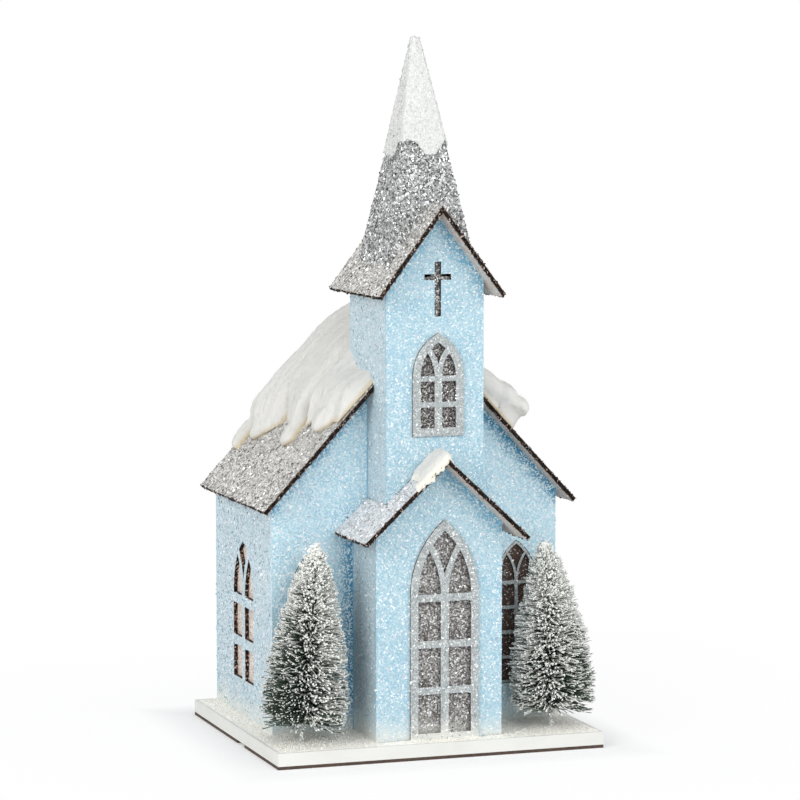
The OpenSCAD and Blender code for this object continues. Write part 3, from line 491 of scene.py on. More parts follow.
for node, outward in (
    ("nave_left_wall", LEFT), ("nave_right_wall", RIGHT), ("tower_left_wall", LEFT),
    ("tower_right_wall", RIGHT), ("porch_left_wall", LEFT), ("porch_right_wall", RIGHT),
):
    glittered_board("mica_on_blue_" + node, node, outward, SIDE_BLUE_PAINTED_LIGHT, MICA_ON_SIDE, flake, 0.85,
        BARE_BOARD, None, (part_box(node)[1].z, 0.0, eave_shade_depth), lift=0.0001, speckless=0.7)
# A flake is a flat five-sided chip, longer than it is wide
five_sided = {"Vertices": 5, "Radius": 1.0, "fill_type": "NGON"}
strew_flakes = strewing("strewn flakes", ("MeshCircle", five_sided), (0.35, 0.25, 1.0),
    (1.8, 1.3, 1.0))
# The loose flakes on top catch the light by their edges and throw small shadows; their white tone is a
# painted glint
mica = toned_finish("clear_mica_flakes", [(0.0, "#c3dae3"), (0.34, "#b2d1de"), (0.56, "#d6e6ec"),
    (0.76, "#eaf2f4"), (0.88, "#ffffff"), (0.96, "#d9d5e4")], 0.0, 0.22)
mica_size = 0.00052
for number, (piece_name, sources, outward) in enumerate((
    ("mica_on_nave_front", ("nave_front_wall_left", "nave_front_wall_right"), FRONT),
    ("mica_on_nave_back", ("nave_back_wall",), BACK),
    ("mica_on_nave_left", ("nave_left_wall",), LEFT),
    ("mica_on_nave_right", ("nave_right_wall",), RIGHT),
    ("mica_on_tower_front", ("tower_front_wall",), FRONT),
    ("mica_on_tower_back", ("tower_back_wall",), BACK),
    ("mica_on_tower_left", ("tower_left_wall",), LEFT),
    ("mica_on_tower_right", ("tower_right_wall",), RIGHT),
    ("mica_on_porch_front", ("porch_front_wall",), FRONT),
    ("mica_on_porch_left", ("porch_left_wall",), LEFT),
    ("mica_on_porch_right", ("porch_right_wall",), RIGHT),
)):
    piece = grown(strew_flakes, piece_name, clean_copy(piece_name, sources, outward),
        Per_Square_Metre=0.45e6, Size=mica_size, Lean=0.6, Seed=20 + number, Stops_At=1.0,
        Finish=mica)
    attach(piece, "house")

# Glue beads: hot glue run down the inner corners where tower and porch meet the nave; their blue,
# far deeper than the walls', is painted shade in those corners.
def mottled(name, light, deep, grain, detail, **surface):
    """A finish that mottles between two colours, which suits what is dyed, dusted or cast."""
    finish, add = new_finish(name)
    where = add("TexCoord").outputs["Object"]
    patches = add("TexNoise", Vector=where, Scale=1 / grain, Detail=detail)
    spread = surface.pop("spread", (0.0, 1.0))
    share = add("MapRange", patches, *spread)
    tint = add("Mix RGBA", share, A=light, B=deep)
    if "bump" in surface:
        strength, height = surface.pop("bump")
        surface["Normal"] = add("Bump", Height=patches, Strength=strength, Distance=height)
    add("OutputMaterial", add("BsdfPrincipled", tint, **surface))
    return finish


bead_step, bead_lump = 0.0012, 0.004
growth, add, given = new_growth("glue beads", "Girth")
line = add("MeshToCurve", given["Geometry"])
line = add("ResampleCurve", line, Length=bead_step, mode="LENGTH")
place = add("InputPosition")
swells = add("TexNoise", Vector=place, Scale=1 / bead_lump, Detail=2.0)
swells = add("Math MULTIPLY_ADD", swells, 1.0, 0.5)
round_bead = add("CurvePrimitiveCircle", Resolution=8, Radius=given["Girth"])
bead = add("CurveToMesh", Curve=line, Profile_Curve=round_bead, Scale=swells, Fill_Caps=True)
closed(add, bead, given["Finish"])
corner_lines = bpy.data.meshes.new("corner_lines")
ends = []
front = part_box("nave_front_wall_left")[0].y
tower_foot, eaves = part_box("porch_front_wall")[0].z + 0.10, nave_ridge - 0.0275
for x, low, high in (
    (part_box("tower_left_wall")[0].x, tower_foot, eaves),
    (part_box("tower_right_wall")[1].x, tower_foot, eaves),
    (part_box("porch_left_wall")[0].x, drift_low.z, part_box("porch_left_wall")[1].z - 0.003),
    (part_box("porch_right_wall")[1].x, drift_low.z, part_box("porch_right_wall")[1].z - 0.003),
):
    ends += [(x, front, low), (x, front, high)]
corner_lines.from_pydata(ends, [(0, 1), (2, 3), (4, 5), (6, 7)], [])
# The glue is smooth and slightly shiny; its deep blue is painted corner shade, mottled with a paler
# cloudy tint
glue = mottled("blue_painted_glue", "#5592b3", "#93c0d4", 0.0012, 3.0, Roughness=0.5)
beads = grown(growth, "corner_glue_beads", corner_lines, Girth=0.00045, Finish=glue)
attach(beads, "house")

# Window films: a dark sheet glued behind every opening, strewn with silver flakes that the glue
# holds in patches, so that the lamp inside only shows through faintly. Those of the nave's front
# windows are drawn darker brown and nearly bare, as painted shade, and those in the side walls
# pale, as painted light.
# The white top steps of these flake tones are painted glints
FLAKES_ON_FILM = [(0.0, "#767370"), (0.25, "#979593"), (0.45, "#b0afad"), (0.62, "#5d5a58"),
    (0.78, "#cccccb"), (0.92, "#f2f2f2")]
# Pale flakes for the side walls' films: painted light
PALE_FLAKES_PAINTED_LIGHT = [(0.0, "#dccfc7"), (0.3, "#e8ded7"), (0.55, "#b9a498"), (0.72, "#f1ebe6"),
    (0.93, "#ffffff")]
for word, node, outward, tints, flakes, cover in (
    # The side walls' films: pale tints and flakes, painted light
    ("thinly_dusted_", "left_window_film", LEFT, ("#e2d4ca", "#c4b2a6"), PALE_FLAKES_PAINTED_LIGHT, 0.7),
    ("thinly_dusted_", "right_window_film", RIGHT, ("#e2d4ca", "#c4b2a6"), PALE_FLAKES_PAINTED_LIGHT, 0.7),
    # The nave's front windows: darker brown tints and few flakes, painted shade
    ("bare_", "front_left_window_film", FRONT, ("#5a4840", "#46372f"), FLAKES_ON_FILM, 0.12),
    ("bare_", "front_right_window_film", FRONT, ("#5a4840", "#46372f"), FLAKES_ON_FILM, 0.12),
    ("silver_dusted_", "door_film", FRONT, ("#6f6966", "#4f4947"), FLAKES_ON_FILM, 0.85),
    ("silver_dusted_", "tower_window_film", FRONT, ("#55504d", "#3c3735"), FLAKES_ON_FILM, 0.7),
):
    glittered_board(word + node, node, outward, tints, flakes, flake, cover, "#4a4341")

# Window and door frames: thin board cut by laser to pointed tracery, painted pale grey and glued
# over, and strewn with fine silver flakes that stick best to the broad outer border.
# The near-white top step of these tones is a painted glint
FLAKES_ON_FRAME = [(0.0, "#a9aeae"), (0.3, "#b9bdbc"), (0.52, "#939897"), (0.7, "#c8cccb"),
    (0.96, "#f4f4f4")]
frames = [node for node in nodes if node.endswith("_frame")]
for node in frames:
    glittered_board("silver_dusted_" + node, node, FRONT, ("#aab0b0", "#969c9d"), FLAKES_ON_FRAME,
                    flake, 0.55, BARE_BOARD, burnt=("#3a322e", "#8d8c8a"), speckless=0.75)
# Fine metal flakes: pale ones that stand off the frames, and darker ones that let the film show; the
# white steps of their tones are painted glints
frame_flakes = toned_finish("pale_flakes_on_the_frames", [(0.0, "#abb3b6"), (0.3, "#cfd6da"),
    (0.55, "#878d90"), (0.68, "#e7ebed"), (0.9, "#ffffff")], 0.2, 0.3)
film_flakes = toned_finish("silver_flakes_on_the_films", [(0.0, "#8d8a88"), (0.3, "#b9b7b5"),
    (0.5, "#5a5654"), (0.66, "#d9d8d8"), (0.88, "#ffffff")], 0.4, 0.3)
# The nave's front window films, drawn darker as painted shade, get fewer flakes
dark_films = ["front_left_window_film", "front_right_window_film"]
for name, on, finish, amount, seed in (
    ("flakes_on_frames", frames, frame_flakes, 0.75e6, 41),
    ("flakes_on_films", ["door_film", "tower_window_film"], film_flakes, 0.8e6, 42),
    ("flakes_on_dark_films", dark_films, film_flakes, 0.35e6, 43),
):
    piece = grown(strew_flakes, name, clean_copy(name, on, FRONT), Per_Square_Metre=amount,
                  Size=0.00045, Lean=0.5, Seed=seed, Stops_At=1.0, Finish=finish)
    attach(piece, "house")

# Roofs: the same board, glued over and strewn with silver-grey flakes, paler on the porch, and
# glued to the walls' tops with a mitre at the ridge.
# The white and near-black steps of these flake tones are painted glints and dark painted reflections
FLAKES_ON_ROOF = [(0.0, "#bfbdb8"), (0.22, "#d4d3cf"), (0.44, "#a5a29b"), (0.58, "#e6e5e2"),
    (0.74, "#8b867e"), (0.82, "#f9f8f7"), (0.94, "#5f5952")]
FLAKES_ON_PORCH = [(0.0, "#dcdee0"), (0.3, "#e8eaec"), (0.55, "#c6c8cb"), (0.7, "#f3f4f4"),
    (0.86, "#ffffff"), (0.95, "#a2a4a8")]
# Silver flakes are small mirrors: each is painted white, grey or nearly black at random, as painted
# reflections of how it leans
silver = toned_finish("silver_flakes", [(0.0, "#b3b2af"), (0.22, "#dddcda"), (0.42, "#807d78"),
    (0.55, "#f5f5f4"), (0.78, "#cbcac7"), (0.92, "#4b4742")], 0.55, 0.3)
white_silver = toned_finish("pale_silver_flakes", [(0.0, "#d3d4d6"), (0.4, "#f2f2f3"),
    (0.75, "#b5b6b9"), (0.92, "#ffffff")], 0.35, 0.3)
roof_boards = []
for number, (roof, slope, grounds, flakes, loose) in enumerate((
    ("nave_roof", nave_slope, ("#b4b1ab", "#9a968f"), FLAKES_ON_ROOF, silver),
    ("tower_roof", tower_slope, ("#b4b1ab", "#9a968f"), FLAKES_ON_ROOF, silver),
    ("porch_roof", porch_slope, ("#cdd1d4", "#b4b8bc"), FLAKES_ON_PORCH, white_silver),
)):
    for side, word in ((-1, "left"), (1, "right")):
        outward = Vector((side * math.sin(slope), 0, math.cos(slope)))
        node = f"{roof}_{word}"
        roof_boards.append((node, side, slope))
        glittered_board("silver_strewn_" + node, node, outward, grounds, flakes, flake, 0.85,
                        "#b5a294", strays=0.35)
        piece = grown(strew_flakes, "flakes_on_" + node, clean_copy(node, (node,), outward),
            Per_Square_Metre=0.9e6, Size=0.00055, Lean=0.75, Seed=50 + 2 * number + side,
            Stops_At=1.0, Finish=loose)
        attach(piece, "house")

# Crumbs of char from the laser cut, which turn the boards' edges rough and nearly black
charred = toned_finish("charred_crumbs_and_stray_flakes", [(0.0, "#0e0806"), (0.5, "#23170f"),
    (0.76, "#4f3a2c"), (0.88, "#8f7767"), (0.94, "#cdbfb5")], 0.0, 0.6)
for number, (node, side, slope) in enumerate(roof_boards):
    edges = clean_copy("edges", (node,), FRONT)
    for outward in (BACK, Vector((side * math.cos(slope), 0, -math.sin(slope)))):
        joined = bmesh.new()
        for part in (edges, clean_copy("edges", (node,), outward, 0.6)):
            joined.from_mesh(part)
        joined.to_mesh(edges)
        joined.free()
    piece = grown(strew_flakes, "crumbs_on_" + node, edges, Per_Square_Metre=2.6e6, Size=0.00056,
        Lean=1.3, Seed=60 + number, Stops_At=1.0, Finish=charred)
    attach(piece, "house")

# Spire: four mitred boards, strewn with coarser and brighter silver flakes than the roofs.
# The white and near-black steps of these flake tones are painted glints and dark painted reflections
FLAKES_ON_SPIRE = [(0.0, "#9b9c9c"), (0.22, "#b9bbbb"), (0.42, "#7a7a7a"), (0.58, "#dcdddd"),
    (0.72, "#5b5a59"), (0.84, "#ffffff"), (0.92, "#403f3e")]
# Coarser mirrors lie rougher and flash more strongly; the flashes are painted, as white and near-black
# steps in their tones
bright_silver = toned_finish("coarse_silver_flakes", [(0.0, "#a3a4a4"), (0.24, "#eff0f0"),
    (0.4, "#646464"), (0.58, "#c6c7c7"), (0.76, "#ffffff"), (0.87, "#383736")], 0.6, 0.25)
for word, outward in (("front", FRONT), ("back", BACK), ("left", LEFT), ("right", RIGHT)):
    node = "spire_" + word
    high = max(nodes[node].data.polygons, key=lambda face: face.normal.dot(outward) * face.area)
    outward = high.normal.copy()
    glittered_board("coarse_silver_strewn_" + node, node, outward, ("#a2a2a0", "#7e7d7a"),
        FLAKES_ON_SPIRE, 0.0008, 0.9, BARE_BOARD)
    piece = grown(strew_flakes, "flakes_on_" + node, clean_copy(node, (node,), outward),
        Per_Square_Metre=1.3e6, Size=0.00052, Lean=0.8, Seed=70 + len(word), Stops_At=0.2815,
        Finish=bright_silver)
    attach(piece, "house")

# Roof snow: a pad of polyester wool laid over the nave's ridge, glued down and brushed down the
# slope, so that its fibres lie in streaks and its lower edges hang in ragged lobes.
def remade(name, source, voxel, lumps=()):
    """A CAD node's form, with lumps of (middle, size, turn about Y), as even small faces."""
    start = clean_copy(name, (source,))
    shape = bmesh.new()
    shape.from_mesh(start)
    for middle, size, turn in lumps:
        place = Matrix.LocRotScale(middle, Matrix.Rotation(turn, 3, "Y"), size)
        bmesh.ops.create_icosphere(shape, subdivisions=2, radius=1.0, matrix=place)
    shape.to_mesh(start)
    shape.free()
    piece = placed(name, start)
    skin = piece.modifiers.new("even faces", "REMESH")
    skin.mode = "VOXEL"
    skin.voxel_size = voxel
    ease = piece.modifiers.new("soft corners", "SMOOTH")
    ease.factor = 0.5
    ease.iterations = 3
    bpy.context.view_layer.update()
    graph = bpy.context.evaluated_depsgraph_get()
    plain = bpy.data.meshes.new_from_object(piece.evaluated_get(graph), depsgraph=graph)
    piece.modifiers.clear()
    plain.name = name
    piece.data = plain
    plain.shade_smooth()
    return piece


def swell(skin, rule):
    """Moves a mesh's points out along their normals, as far as a rule gives for each."""
    outward = [corner.vector.copy() for corner in skin.vertex_normals]
    for vertex, normal in zip(skin.vertices, outward):
        vertex.co += normal * rule(vertex.co, normal)


def wool(name, ridge, slope, streak, painted_shade_near_roof):
    """Brushed white wool: streaks down the slope, and painted tan shade where it lies near the roof.
    """
    finish, add = new_finish(name)
    where = add("TexCoord").outputs["Object"]
    place = add("SeparateXYZ", where)
    across = add("Math ABSOLUTE", place.outputs[0])
    down = add("Math MULTIPLY", across, 0.08)
    combed = add("CombineXYZ", down, place.outputs[1], 0.0)
    fibres = add("TexNoise", Vector=combed, Scale=1 / streak, Detail=5.0, Roughness=0.65)
    locks = add("TexNoise", Vector=combed, Scale=1 / (6 * streak), Detail=3.0)
    # Painted shade: tinted towards the given tan where the wool lies within a few mm of the roof's
    # surface
    fall = add("Math MULTIPLY_ADD", across, math.tan(slope), place.outputs[2])
    above = add("MapRange", fall, ridge + 0.0022 / math.cos(slope),
        ridge + 0.0048 / math.cos(slope), interpolation_type="SMOOTHSTEP")
    shade = add("MapRange", locks, 0.3, 0.7)
    white = add("Mix RGBA", shade, A="#cecdc8", B="#dddcd8")
    thread = add("MapRange", fibres, 0.2, 0.46)
    white = add("Mix RGBA", thread, A="#cbc8c1", B=white)
    colour = add("Mix RGBA", above, A=painted_shade_near_roof, B=white)
    relief = add("Bump", Height=fibres, Strength=0.55, Distance=0.0006)
    add("OutputMaterial", add("BsdfPrincipled", Base_Color=colour, Roughness=0.85, Normal=relief,
        Sheen_Weight=0.25, Sheen_Roughness=0.5))
    return finish


def off_roof(x):
    """The direction straight out of the nave's roof on the side of x."""
    return Vector((math.copysign(math.sin(nave_slope), x), 0, math.cos(nave_slope)))


def on_slope(x, y, high):
    """A place at a height over the upper side of the nave's roof."""
    level = nave_ridge + board_t / math.cos(nave_slope) - abs(x) * math.tan(nave_slope)
    return Vector((x, y, level)) + high * off_roof(x)


# The lobes that hang from the pad's lower edges: (x, y, height over the roof), half sizes
LOBES = [
    ((-0.0420, 0.0540, 0.0048), (0.0140, 0.0120, 0.0070)),
    ((-0.0485, 0.0490, 0.0014), (0.0100, 0.0100, 0.0044)),
    ((-0.0535, 0.0605, 0.0018), (0.0105, 0.0070, 0.0040)),
    ((-0.0480, 0.0030, 0.0012), (0.0085, 0.0060, 0.0040)),
    ((-0.0400, -0.0205, 0.0012), (0.0082, 0.0088, 0.0040)),
    ((0.0310, -0.0280, 0.0066), (0.0130, 0.0095, 0.0066)),
    ((0.0362, -0.0280, 0.0084), (0.0098, 0.0095, 0.0066)),
    ((0.0424, -0.0285, 0.0102), (0.0052, 0.0085, 0.0050)),
    ((0.0455, -0.0030, 0.0012), (0.0100, 0.0095, 0.0042)),
    ((0.0490, 0.0220, 0.0012), (0.0090, 0.0095, 0.0042)),
    ((0.0460, 0.0450, 0.0012), (0.0110, 0.0085, 0.0040)),
    ((0.0500, 0.0600, 0.0010), (0.0075, 0.0055, 0.0034)),
]
# The partings between the lobes: (side, y at the pad's lower edge, distance from the ridge at
# which it starts, how far it runs back per unit up the slope, half-width)
PARTINGS = [(-1, 0.0190, 0.0415, 1.5, 0.0036), (-1, 0.0160, 0.0445, 0.3, 0.0044),
    (-1, -0.0060, 0.0400, 0.6, 0.0028), (-1, 0.0565, 0.0470, 0.1, 0.0026),
    (1, 0.0095, 0.0430, 0.1, 0.0026), (1, 0.0335, 0.0400, 0.1, 0.0026),
    (1, 0.0540, 0.0450, 0.1, 0.0026), (1, -0.0150, 0.0420, 0.1, 0.0026)]


def eased(value, start, end):
    """0 up to the start and 1 from the end, eased between."""
    share = min(max((value - start) / (end - start), 0), 1)
    return share * share * (3 - 2 * share)


def lying(place):
    """How far the pad sinks at a place: at the ridge, beside the tower and in the partings."""
    side, out = math.copysign(1, place.x), abs(place.x)
    slope_up = off_roof(place.x)
    height = max(slope_up.dot(place) - (nave_ridge * math.cos(nave_slope) + board_t), 0)
    sink = 0.42 * (1 - min(out / 0.026, 1.0)) ** 1.5
    in_front = eased(-place.y, 0.012, 0.030)
    cut = 0.0
    if side < 0:
        sink = max(sink, 0.7 * eased(-place.y, -0.002, 0.022) * (1 - eased(out, 0.026, 0.042)))
        crease = math.exp(-((place.y - 0.001 + 0.1 * (out - 0.03)) / 0.0035) ** 2)
        sink = max(sink, 0.4 * crease * (1 - eased(out, 0.034, 0.046)))
    else:
        low = 1 - eased(height, 0.0040, 0.0058)
        sink = max(sink, 1.2 * in_front * eased(out, 0.0385, 0.0415) * low)
    for parted_side, middle, start, back, half_width in PARTINGS:
        if side == parted_side:
            reach = min(max((out - start) / 0.010, 0), 1)
            wide = 0.0012 + half_width * reach
            off = place.y - middle - back * (0.052 - out) - 0.0008 * noise.noise(place / 0.003)
            parted = min(reach * 2, 1) * math.exp(-(off / wide) ** 2)
            sink = max(sink, 1.2 * parted)
            cut = max(cut, 0.0016 * parted)
    slope_up.x *= eased(out, 0, 0.006)
    return slope_up * -(height * sink + cut)


# Brushed polyester is matt and white with a soft sheen, and shows its fibres as fine grey threads
# The tan where the wool lies close to the roof is painted shade under its edges
roof_wool = wool("polyester_wool_brushed_down_the_roof", nave_ridge, nave_slope, 0.0011, "#c4b494")
pad = remade("roof_snow_pad", "roof_snow", 0.0011, [
    (on_slope(*where), size, math.copysign(nave_slope, where[0])) for where, size in LOBES])


def brushed(place, normal):
    """How far the pad's skin stands out at a place: locks, strands and threads down the slope."""
    if normal.dot(off_roof(place.x)) < -0.3:
        return 0.0
    down = abs(place.x) / math.cos(nave_slope)
    locks = noise.noise(Vector((down / 0.024, place.y / 0.0085, 1.7)))
    strands = noise.noise(Vector((down / 0.020, place.y / 0.0022, 4.1)))
    threads = noise.noise(Vector((down / 0.012, place.y / 0.0010, 9.2)))
    threads += 2.2 * noise.noise(place / 0.0016)
    return 0.0011 * locks + 0.00035 * strands + 0.00014 * threads


for vertex in pad.data.vertices:
    vertex.co += lying(vertex.co) + FRONT * (0.0034 * eased(-vertex.co.y, 0.012, 0.034))
pad.data.update()
swell(pad.data, brushed)
pad.data.materials.append(roof_wool)
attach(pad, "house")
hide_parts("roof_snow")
combed = bmesh.new()
combed.from_mesh(pad.data)
combed.normal_update()
beside = [face for face in combed.faces
          if face.normal.dot(off_roof(face.calc_center_median().x)) < 0.7]
bmesh.ops.delete(combed, geom=beside, context="FACES")
# Loose fibres also lie on the bare board just below the pad: (from and to across, from and to y)
for outs, ends in (
    ((-0.036, -0.051), (-0.0335, 0.000)), ((-0.041, -0.056), (0.010, 0.034)),
    ((0.051, 0.038), (-0.0335, 0.050)),
):
    corners = [(outs[0], ends[0]), (outs[0], ends[1]), (outs[1], ends[1]), (outs[1], ends[0])]
    combed.faces.new([combed.verts.new(on_slope(x, y, 0.0008)) for x, y in corners])
combed_mesh = as_mesh("roof_snow_wisps", combed)
# A fibre is a thin four-sided blade about 5 mm long, which turns little off the brushed direction
blade = {"Vertices": 4, "Radius": 1.0, "fill_type": "NGON"}
strew_wisps = strewing("strewn wisps", ("MeshCircle", blade), (0.010, 0.45, 1.0),
    (0.022, 1.2, 1.0), 0.22)
wisp_white = toned_finish("loose_polyester_fibres", [(0.0, "#d6d5d0"), (0.3, "#e3e2de"),
    (0.6, "#cbc9c3"), (0.8, "#efeeea")], 0.0, 0.7)
wisps = grown(strew_wisps, "roof_snow_wisps", combed_mesh, Per_Square_Metre=0.35e6, Size=0.005,
    Lean=0.07, Seed=91, Stops_At=1.0, Finish=wisp_white)
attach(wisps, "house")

# Porch snow: a tuft of the same wool over the porch's ridge in front of the tower, hanging over
# the front end of the left slope.
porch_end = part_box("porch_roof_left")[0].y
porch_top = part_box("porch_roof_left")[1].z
drips = []
for x, fall, wide in (
    (-0.0008, 0.0010, 0.0016), (-0.0030, 0.0019, 0.0017), (-0.0052, 0.0012, 0.0014),
    (-0.0074, 0.0024, 0.0016), (-0.0098, 0.0014, 0.0017), (-0.0121, 0.0020, 0.0013),
    (-0.0141, 0.0008, 0.0012),
):
    edge_z = porch_top + x * math.tan(porch_slope)
    drips.append((Vector((x, porch_end + 0.0002, edge_z - fall / 2)),
        (wide, 0.0009, 0.0012 + fall / 2), 0.0))
    drips.append((Vector((x + 0.0004, porch_end + 0.0022, edge_z + 0.0009)),
        (wide * 1.2, 0.0030, 0.0016), 0.0))
tuft = remade("porch_snow_tuft", "porch_snow", 0.0005, drips)
swell(tuft.data, lambda place, normal:
      0.0005 * noise.noise(place / 0.0028) + 0.0002 * noise.noise(place / 0.0009))
# A near-white tint where the wool lies close to the roof: faint painted shade
tuft.data.materials.append(wool("polyester_wool_on_the_porch", porch_ridge, porch_slope, 0.0009,
    "#ebe7da"))
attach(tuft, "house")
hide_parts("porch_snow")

# Spire snow: the spire's top, dipped in glue and rolled in coarse white grains, with a ragged
# lower edge and a blunt tip.
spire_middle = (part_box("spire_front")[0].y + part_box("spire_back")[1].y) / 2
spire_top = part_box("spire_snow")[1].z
# The spire's half-width at its tip, and how much it gains per metre down across and along
tip_half, spread_x, spread_y = 0.0010, 0.1905, 0.2100
# Where the grains end on each side, from the left back corner round by the front: (share of the
# way round, height)
RAGGED_EDGE = [(0.0, 0.2805), (0.012, 0.2765), (0.117, 0.2737), (0.16, 0.2755), (0.19, 0.2808),
    (0.25, 0.2810), (0.266, 0.2826), (0.326, 0.2810), (0.377, 0.2756), (0.422, 0.2755),
    (0.46, 0.2800), (0.485, 0.2824), (0.5, 0.2820), (0.55, 0.2770), (0.6, 0.2745), (0.66, 0.2760),
    (0.7, 0.2815), (0.75, 0.2810), (0.8, 0.2765), (0.86, 0.2742), (0.92, 0.2775), (0.96, 0.2820),
    (1.0, 0.2805)]


def edge_height(share):
    """Height of the ragged edge at a share of the way round the spire."""
    for (left, low), (right, high) in zip(RAGGED_EDGE, RAGGED_EDGE[1:]):
        if left <= share <= right:
            ragged = 0.0011 * noise.noise(Vector((share * 60, 0.5, 0)))
            ragged += 0.0006 * noise.noise(Vector((share * 170, 3, 0)))
            return low + (high - low) * (share - left) / (right - left) + ragged
    return RAGGED_EDGE[0][1]


def spire_ring(share, height, stand_off):
    """A place on the square round the spire, going left face, front, right, back."""
    half_x = tip_half + max(spire_top - height, 0) * spread_x + stand_off
    half_y = tip_half + max(spire_top - height, 0) * spread_y + stand_off
    side, along = divmod(share * 4, 1.0)
    corners = [(-half_x, half_y), (-half_x, -half_y), (half_x, -half_y), (half_x, half_y),
        (-half_x, half_y)]
    (x0, y0), (x1, y1) = corners[int(side) % 4], corners[int(side) % 4 + 1]
    x, y = x0 + (x1 - x0) * along, y0 + (y1 - y0) * along
    # Grains fill out round every corner
    turned = min(0.0020, 0.9 * half_x, 0.9 * half_y)
    inner = Vector((min(max(x, turned - half_x), half_x - turned),
        min(max(y, turned - half_y), half_y - turned)))
    x, y = inner + (Vector((x, y)) - inner).normalized() * turned
    lean = -0.0007 * min(max((height - 0.281) / (spire_top - 0.281), 0), 1)
    return Vector((x + lean, spire_middle + y, height))


around, upward = 176, 84
shape = bmesh.new()
rings = []
for j in range(-2, upward + 1):
    ring = []
    for i in range(around):
        share = i / around
        low = edge_height(share)
        height = low + (spire_top - 0.0012 - low) * max(j, 0) / upward
        place = spire_ring(share, height, (0.0, 0.0004, 0.0009)[min(j, 0) + 2])
        away = Vector((place.x, place.y - spire_middle, 0)).normalized()
        lumps = 0.00034 * noise.noise(place / 0.0015) + 0.0002 * noise.noise(place / 0.0007)
        ring.append(shape.verts.new(place + away * (lumps if j > -2 else -0.0003)))
    rings.append(ring)
for below, ring in zip(rings, rings[1:]):
    for i in range(around):
        shape.faces.new((below[i], below[(i + 1) % around], ring[(i + 1) % around], ring[i]))
peak = shape.verts.new((-0.0007, spire_middle, spire_top - 0.0004))
for i in range(around):
    shape.faces.new((rings[-1][i], rings[-1][(i + 1) % around], peak))
shape.normal_update()
cap_mesh = as_mesh("spire_snow_cap", shape)
cap_mesh.shade_smooth()
cap = placed("spire_snow_cap", cap_mesh)
# Coarse white grains: a lumpy crust that is brightest on its lit side, with the loose ones
# standing out of it
cap.data.materials.append(crust("white_grains_crusted_on_the_spire", [
    (0.0, "#d4d5d2"), (0.4, "#cdcecb"), (0.7, "#dbdbd9"), (0.93, "#c5c6c4")],
    0.0009, 0.4, 0.0005, 0.45))
white_flakes = toned_finish("white_grains", [(0.0, "#d5d6d4"), (0.4, "#cecfcd"), (0.65, "#e2e2e1"),
    (0.92, "#c2c4c2")], 0.0, 0.5)
cap_grains = grown(strew_flakes, "spire_snow_grains", cap.data.copy(), Per_Square_Metre=0.9e6,
    Size=0.0005, Lean=0.3, Seed=81, Stops_At=1.0, Finish=white_flakes)
for piece in (cap, cap_grains):
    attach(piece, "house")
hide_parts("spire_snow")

# Trees: bottle brushes of dark green sisal. The bristles are caught between two twisted wires,
# trimmed to a slim cone, dipped in glue and rolled in white frost, which is heaviest at the top.
brush, add, given = new_growth(
    "bottle brush", "Foot Top Radius Room Pitch Thickness Frost_From Frost_Rise Grain "
    "Grain_Share Bare_Side Fuller", "Bristles Seed")
# The brush's outline: (share of its height, share of its radius)
TREE_SHAPE = [(0.0, 0.92), (0.08, 1.0), (0.25, 0.96), (0.42, 0.85), (0.6, 0.67), (0.79, 0.44),
    (0.94, 0.19), (1.0, 0.07)]
index = add("InputIndex")
rise = add("Math DIVIDE", add("Math ADD", index, 0.5), given["Bristles"])
height = add("MapRange", rise, 0.0, 1.0, given["Foot"], given["Top"])
outline = add("FloatCurve", Value=rise)
points = outline.mapping.curves[0].points
while len(points) < len(TREE_SHAPE):
    points.new(0.5, 0.5)
for point, (x, y) in zip(points, TREE_SHAPE):
    point.location = (x, y)
outline.mapping.update()
twist = add("Math MULTIPLY", add("Math DIVIDE", height, given["Pitch"]), 2 * math.pi)
strand = add("Math MULTIPLY", add("Math MODULO", index, 2.0), math.pi)
stray = add("RandomValue FLOAT", Min=-0.75, Max=0.75, Seed=given["Seed"])
angle = add("Math ADD", add("Math ADD", twist, strand), stray)
trimmed = add("RandomValue FLOAT", Min=0.0, Max=1.0, Seed=add("Math ADD", given["Seed"], 1.0))
trimmed = add("Math MULTIPLY_ADD", add("Math POWER", trimmed, 3.0), -0.55, 1.02)
length = add("Math MULTIPLY", add("Math MULTIPLY", outline, given["Radius"]), trimmed)
length = add("Math MULTIPLY", length, add("Math MULTIPLY_ADD", add("Math COSINE", angle),
    given["Fuller"], 1.0))
towards_wall = add("Math MAXIMUM", add("Math SINE", angle), 0.01)
length = add("Math MINIMUM", length, add("Math DIVIDE", given["Room"], towards_wall))
lift = add("RandomValue FLOAT", Min=-0.24, Max=0.1, Seed=add("Math ADD", given["Seed"], 2.0))
lift = add("Math SUBTRACT", lift, add("Math MULTIPLY", add("Math MULTIPLY", rise, rise), 0.5))
turn = add("CombineXYZ", 0.0, lift, angle)
turn = add("EulerToRotation", turn)
spots = add("Points", given["Bristles"], add("CombineXYZ", Z=height))
straight = add("CurvePrimitiveLine", Start=(0, 0, 0), End=(1, 0, 0))
straight = add("ResampleCurve", straight, Count=4)
many = add("InstanceOnPoints", Points=spots, Instance=straight, Rotation=turn, Scale=length)
sideways = add("Math MULTIPLY", add("Math ABSOLUTE", add("Math COSINE", angle)), 0.25)
facing = add("Math MAXIMUM", add("Math COSINE", add("Math SUBTRACT", angle, given["Bare_Side"])),
    0.0)
bareness = add("Math MULTIPLY_ADD", facing, 0.85, sideways)
bareness = add("Math MULTIPLY", bareness, add("Math MAXIMUM",
    add("Math MULTIPLY_ADD", rise, -1.05, 1.0), 0.0))
noted = add("StoreNamedAttribute FLOAT", many, Name="rise", Value=rise, domain="INSTANCE")
noted = add("StoreNamedAttribute FLOAT", noted, Name="bareness", Value=bareness, domain="INSTANCE")
wires = add("RealizeInstances", noted)
along = add("SplineParameter")
place = add("InputPosition")
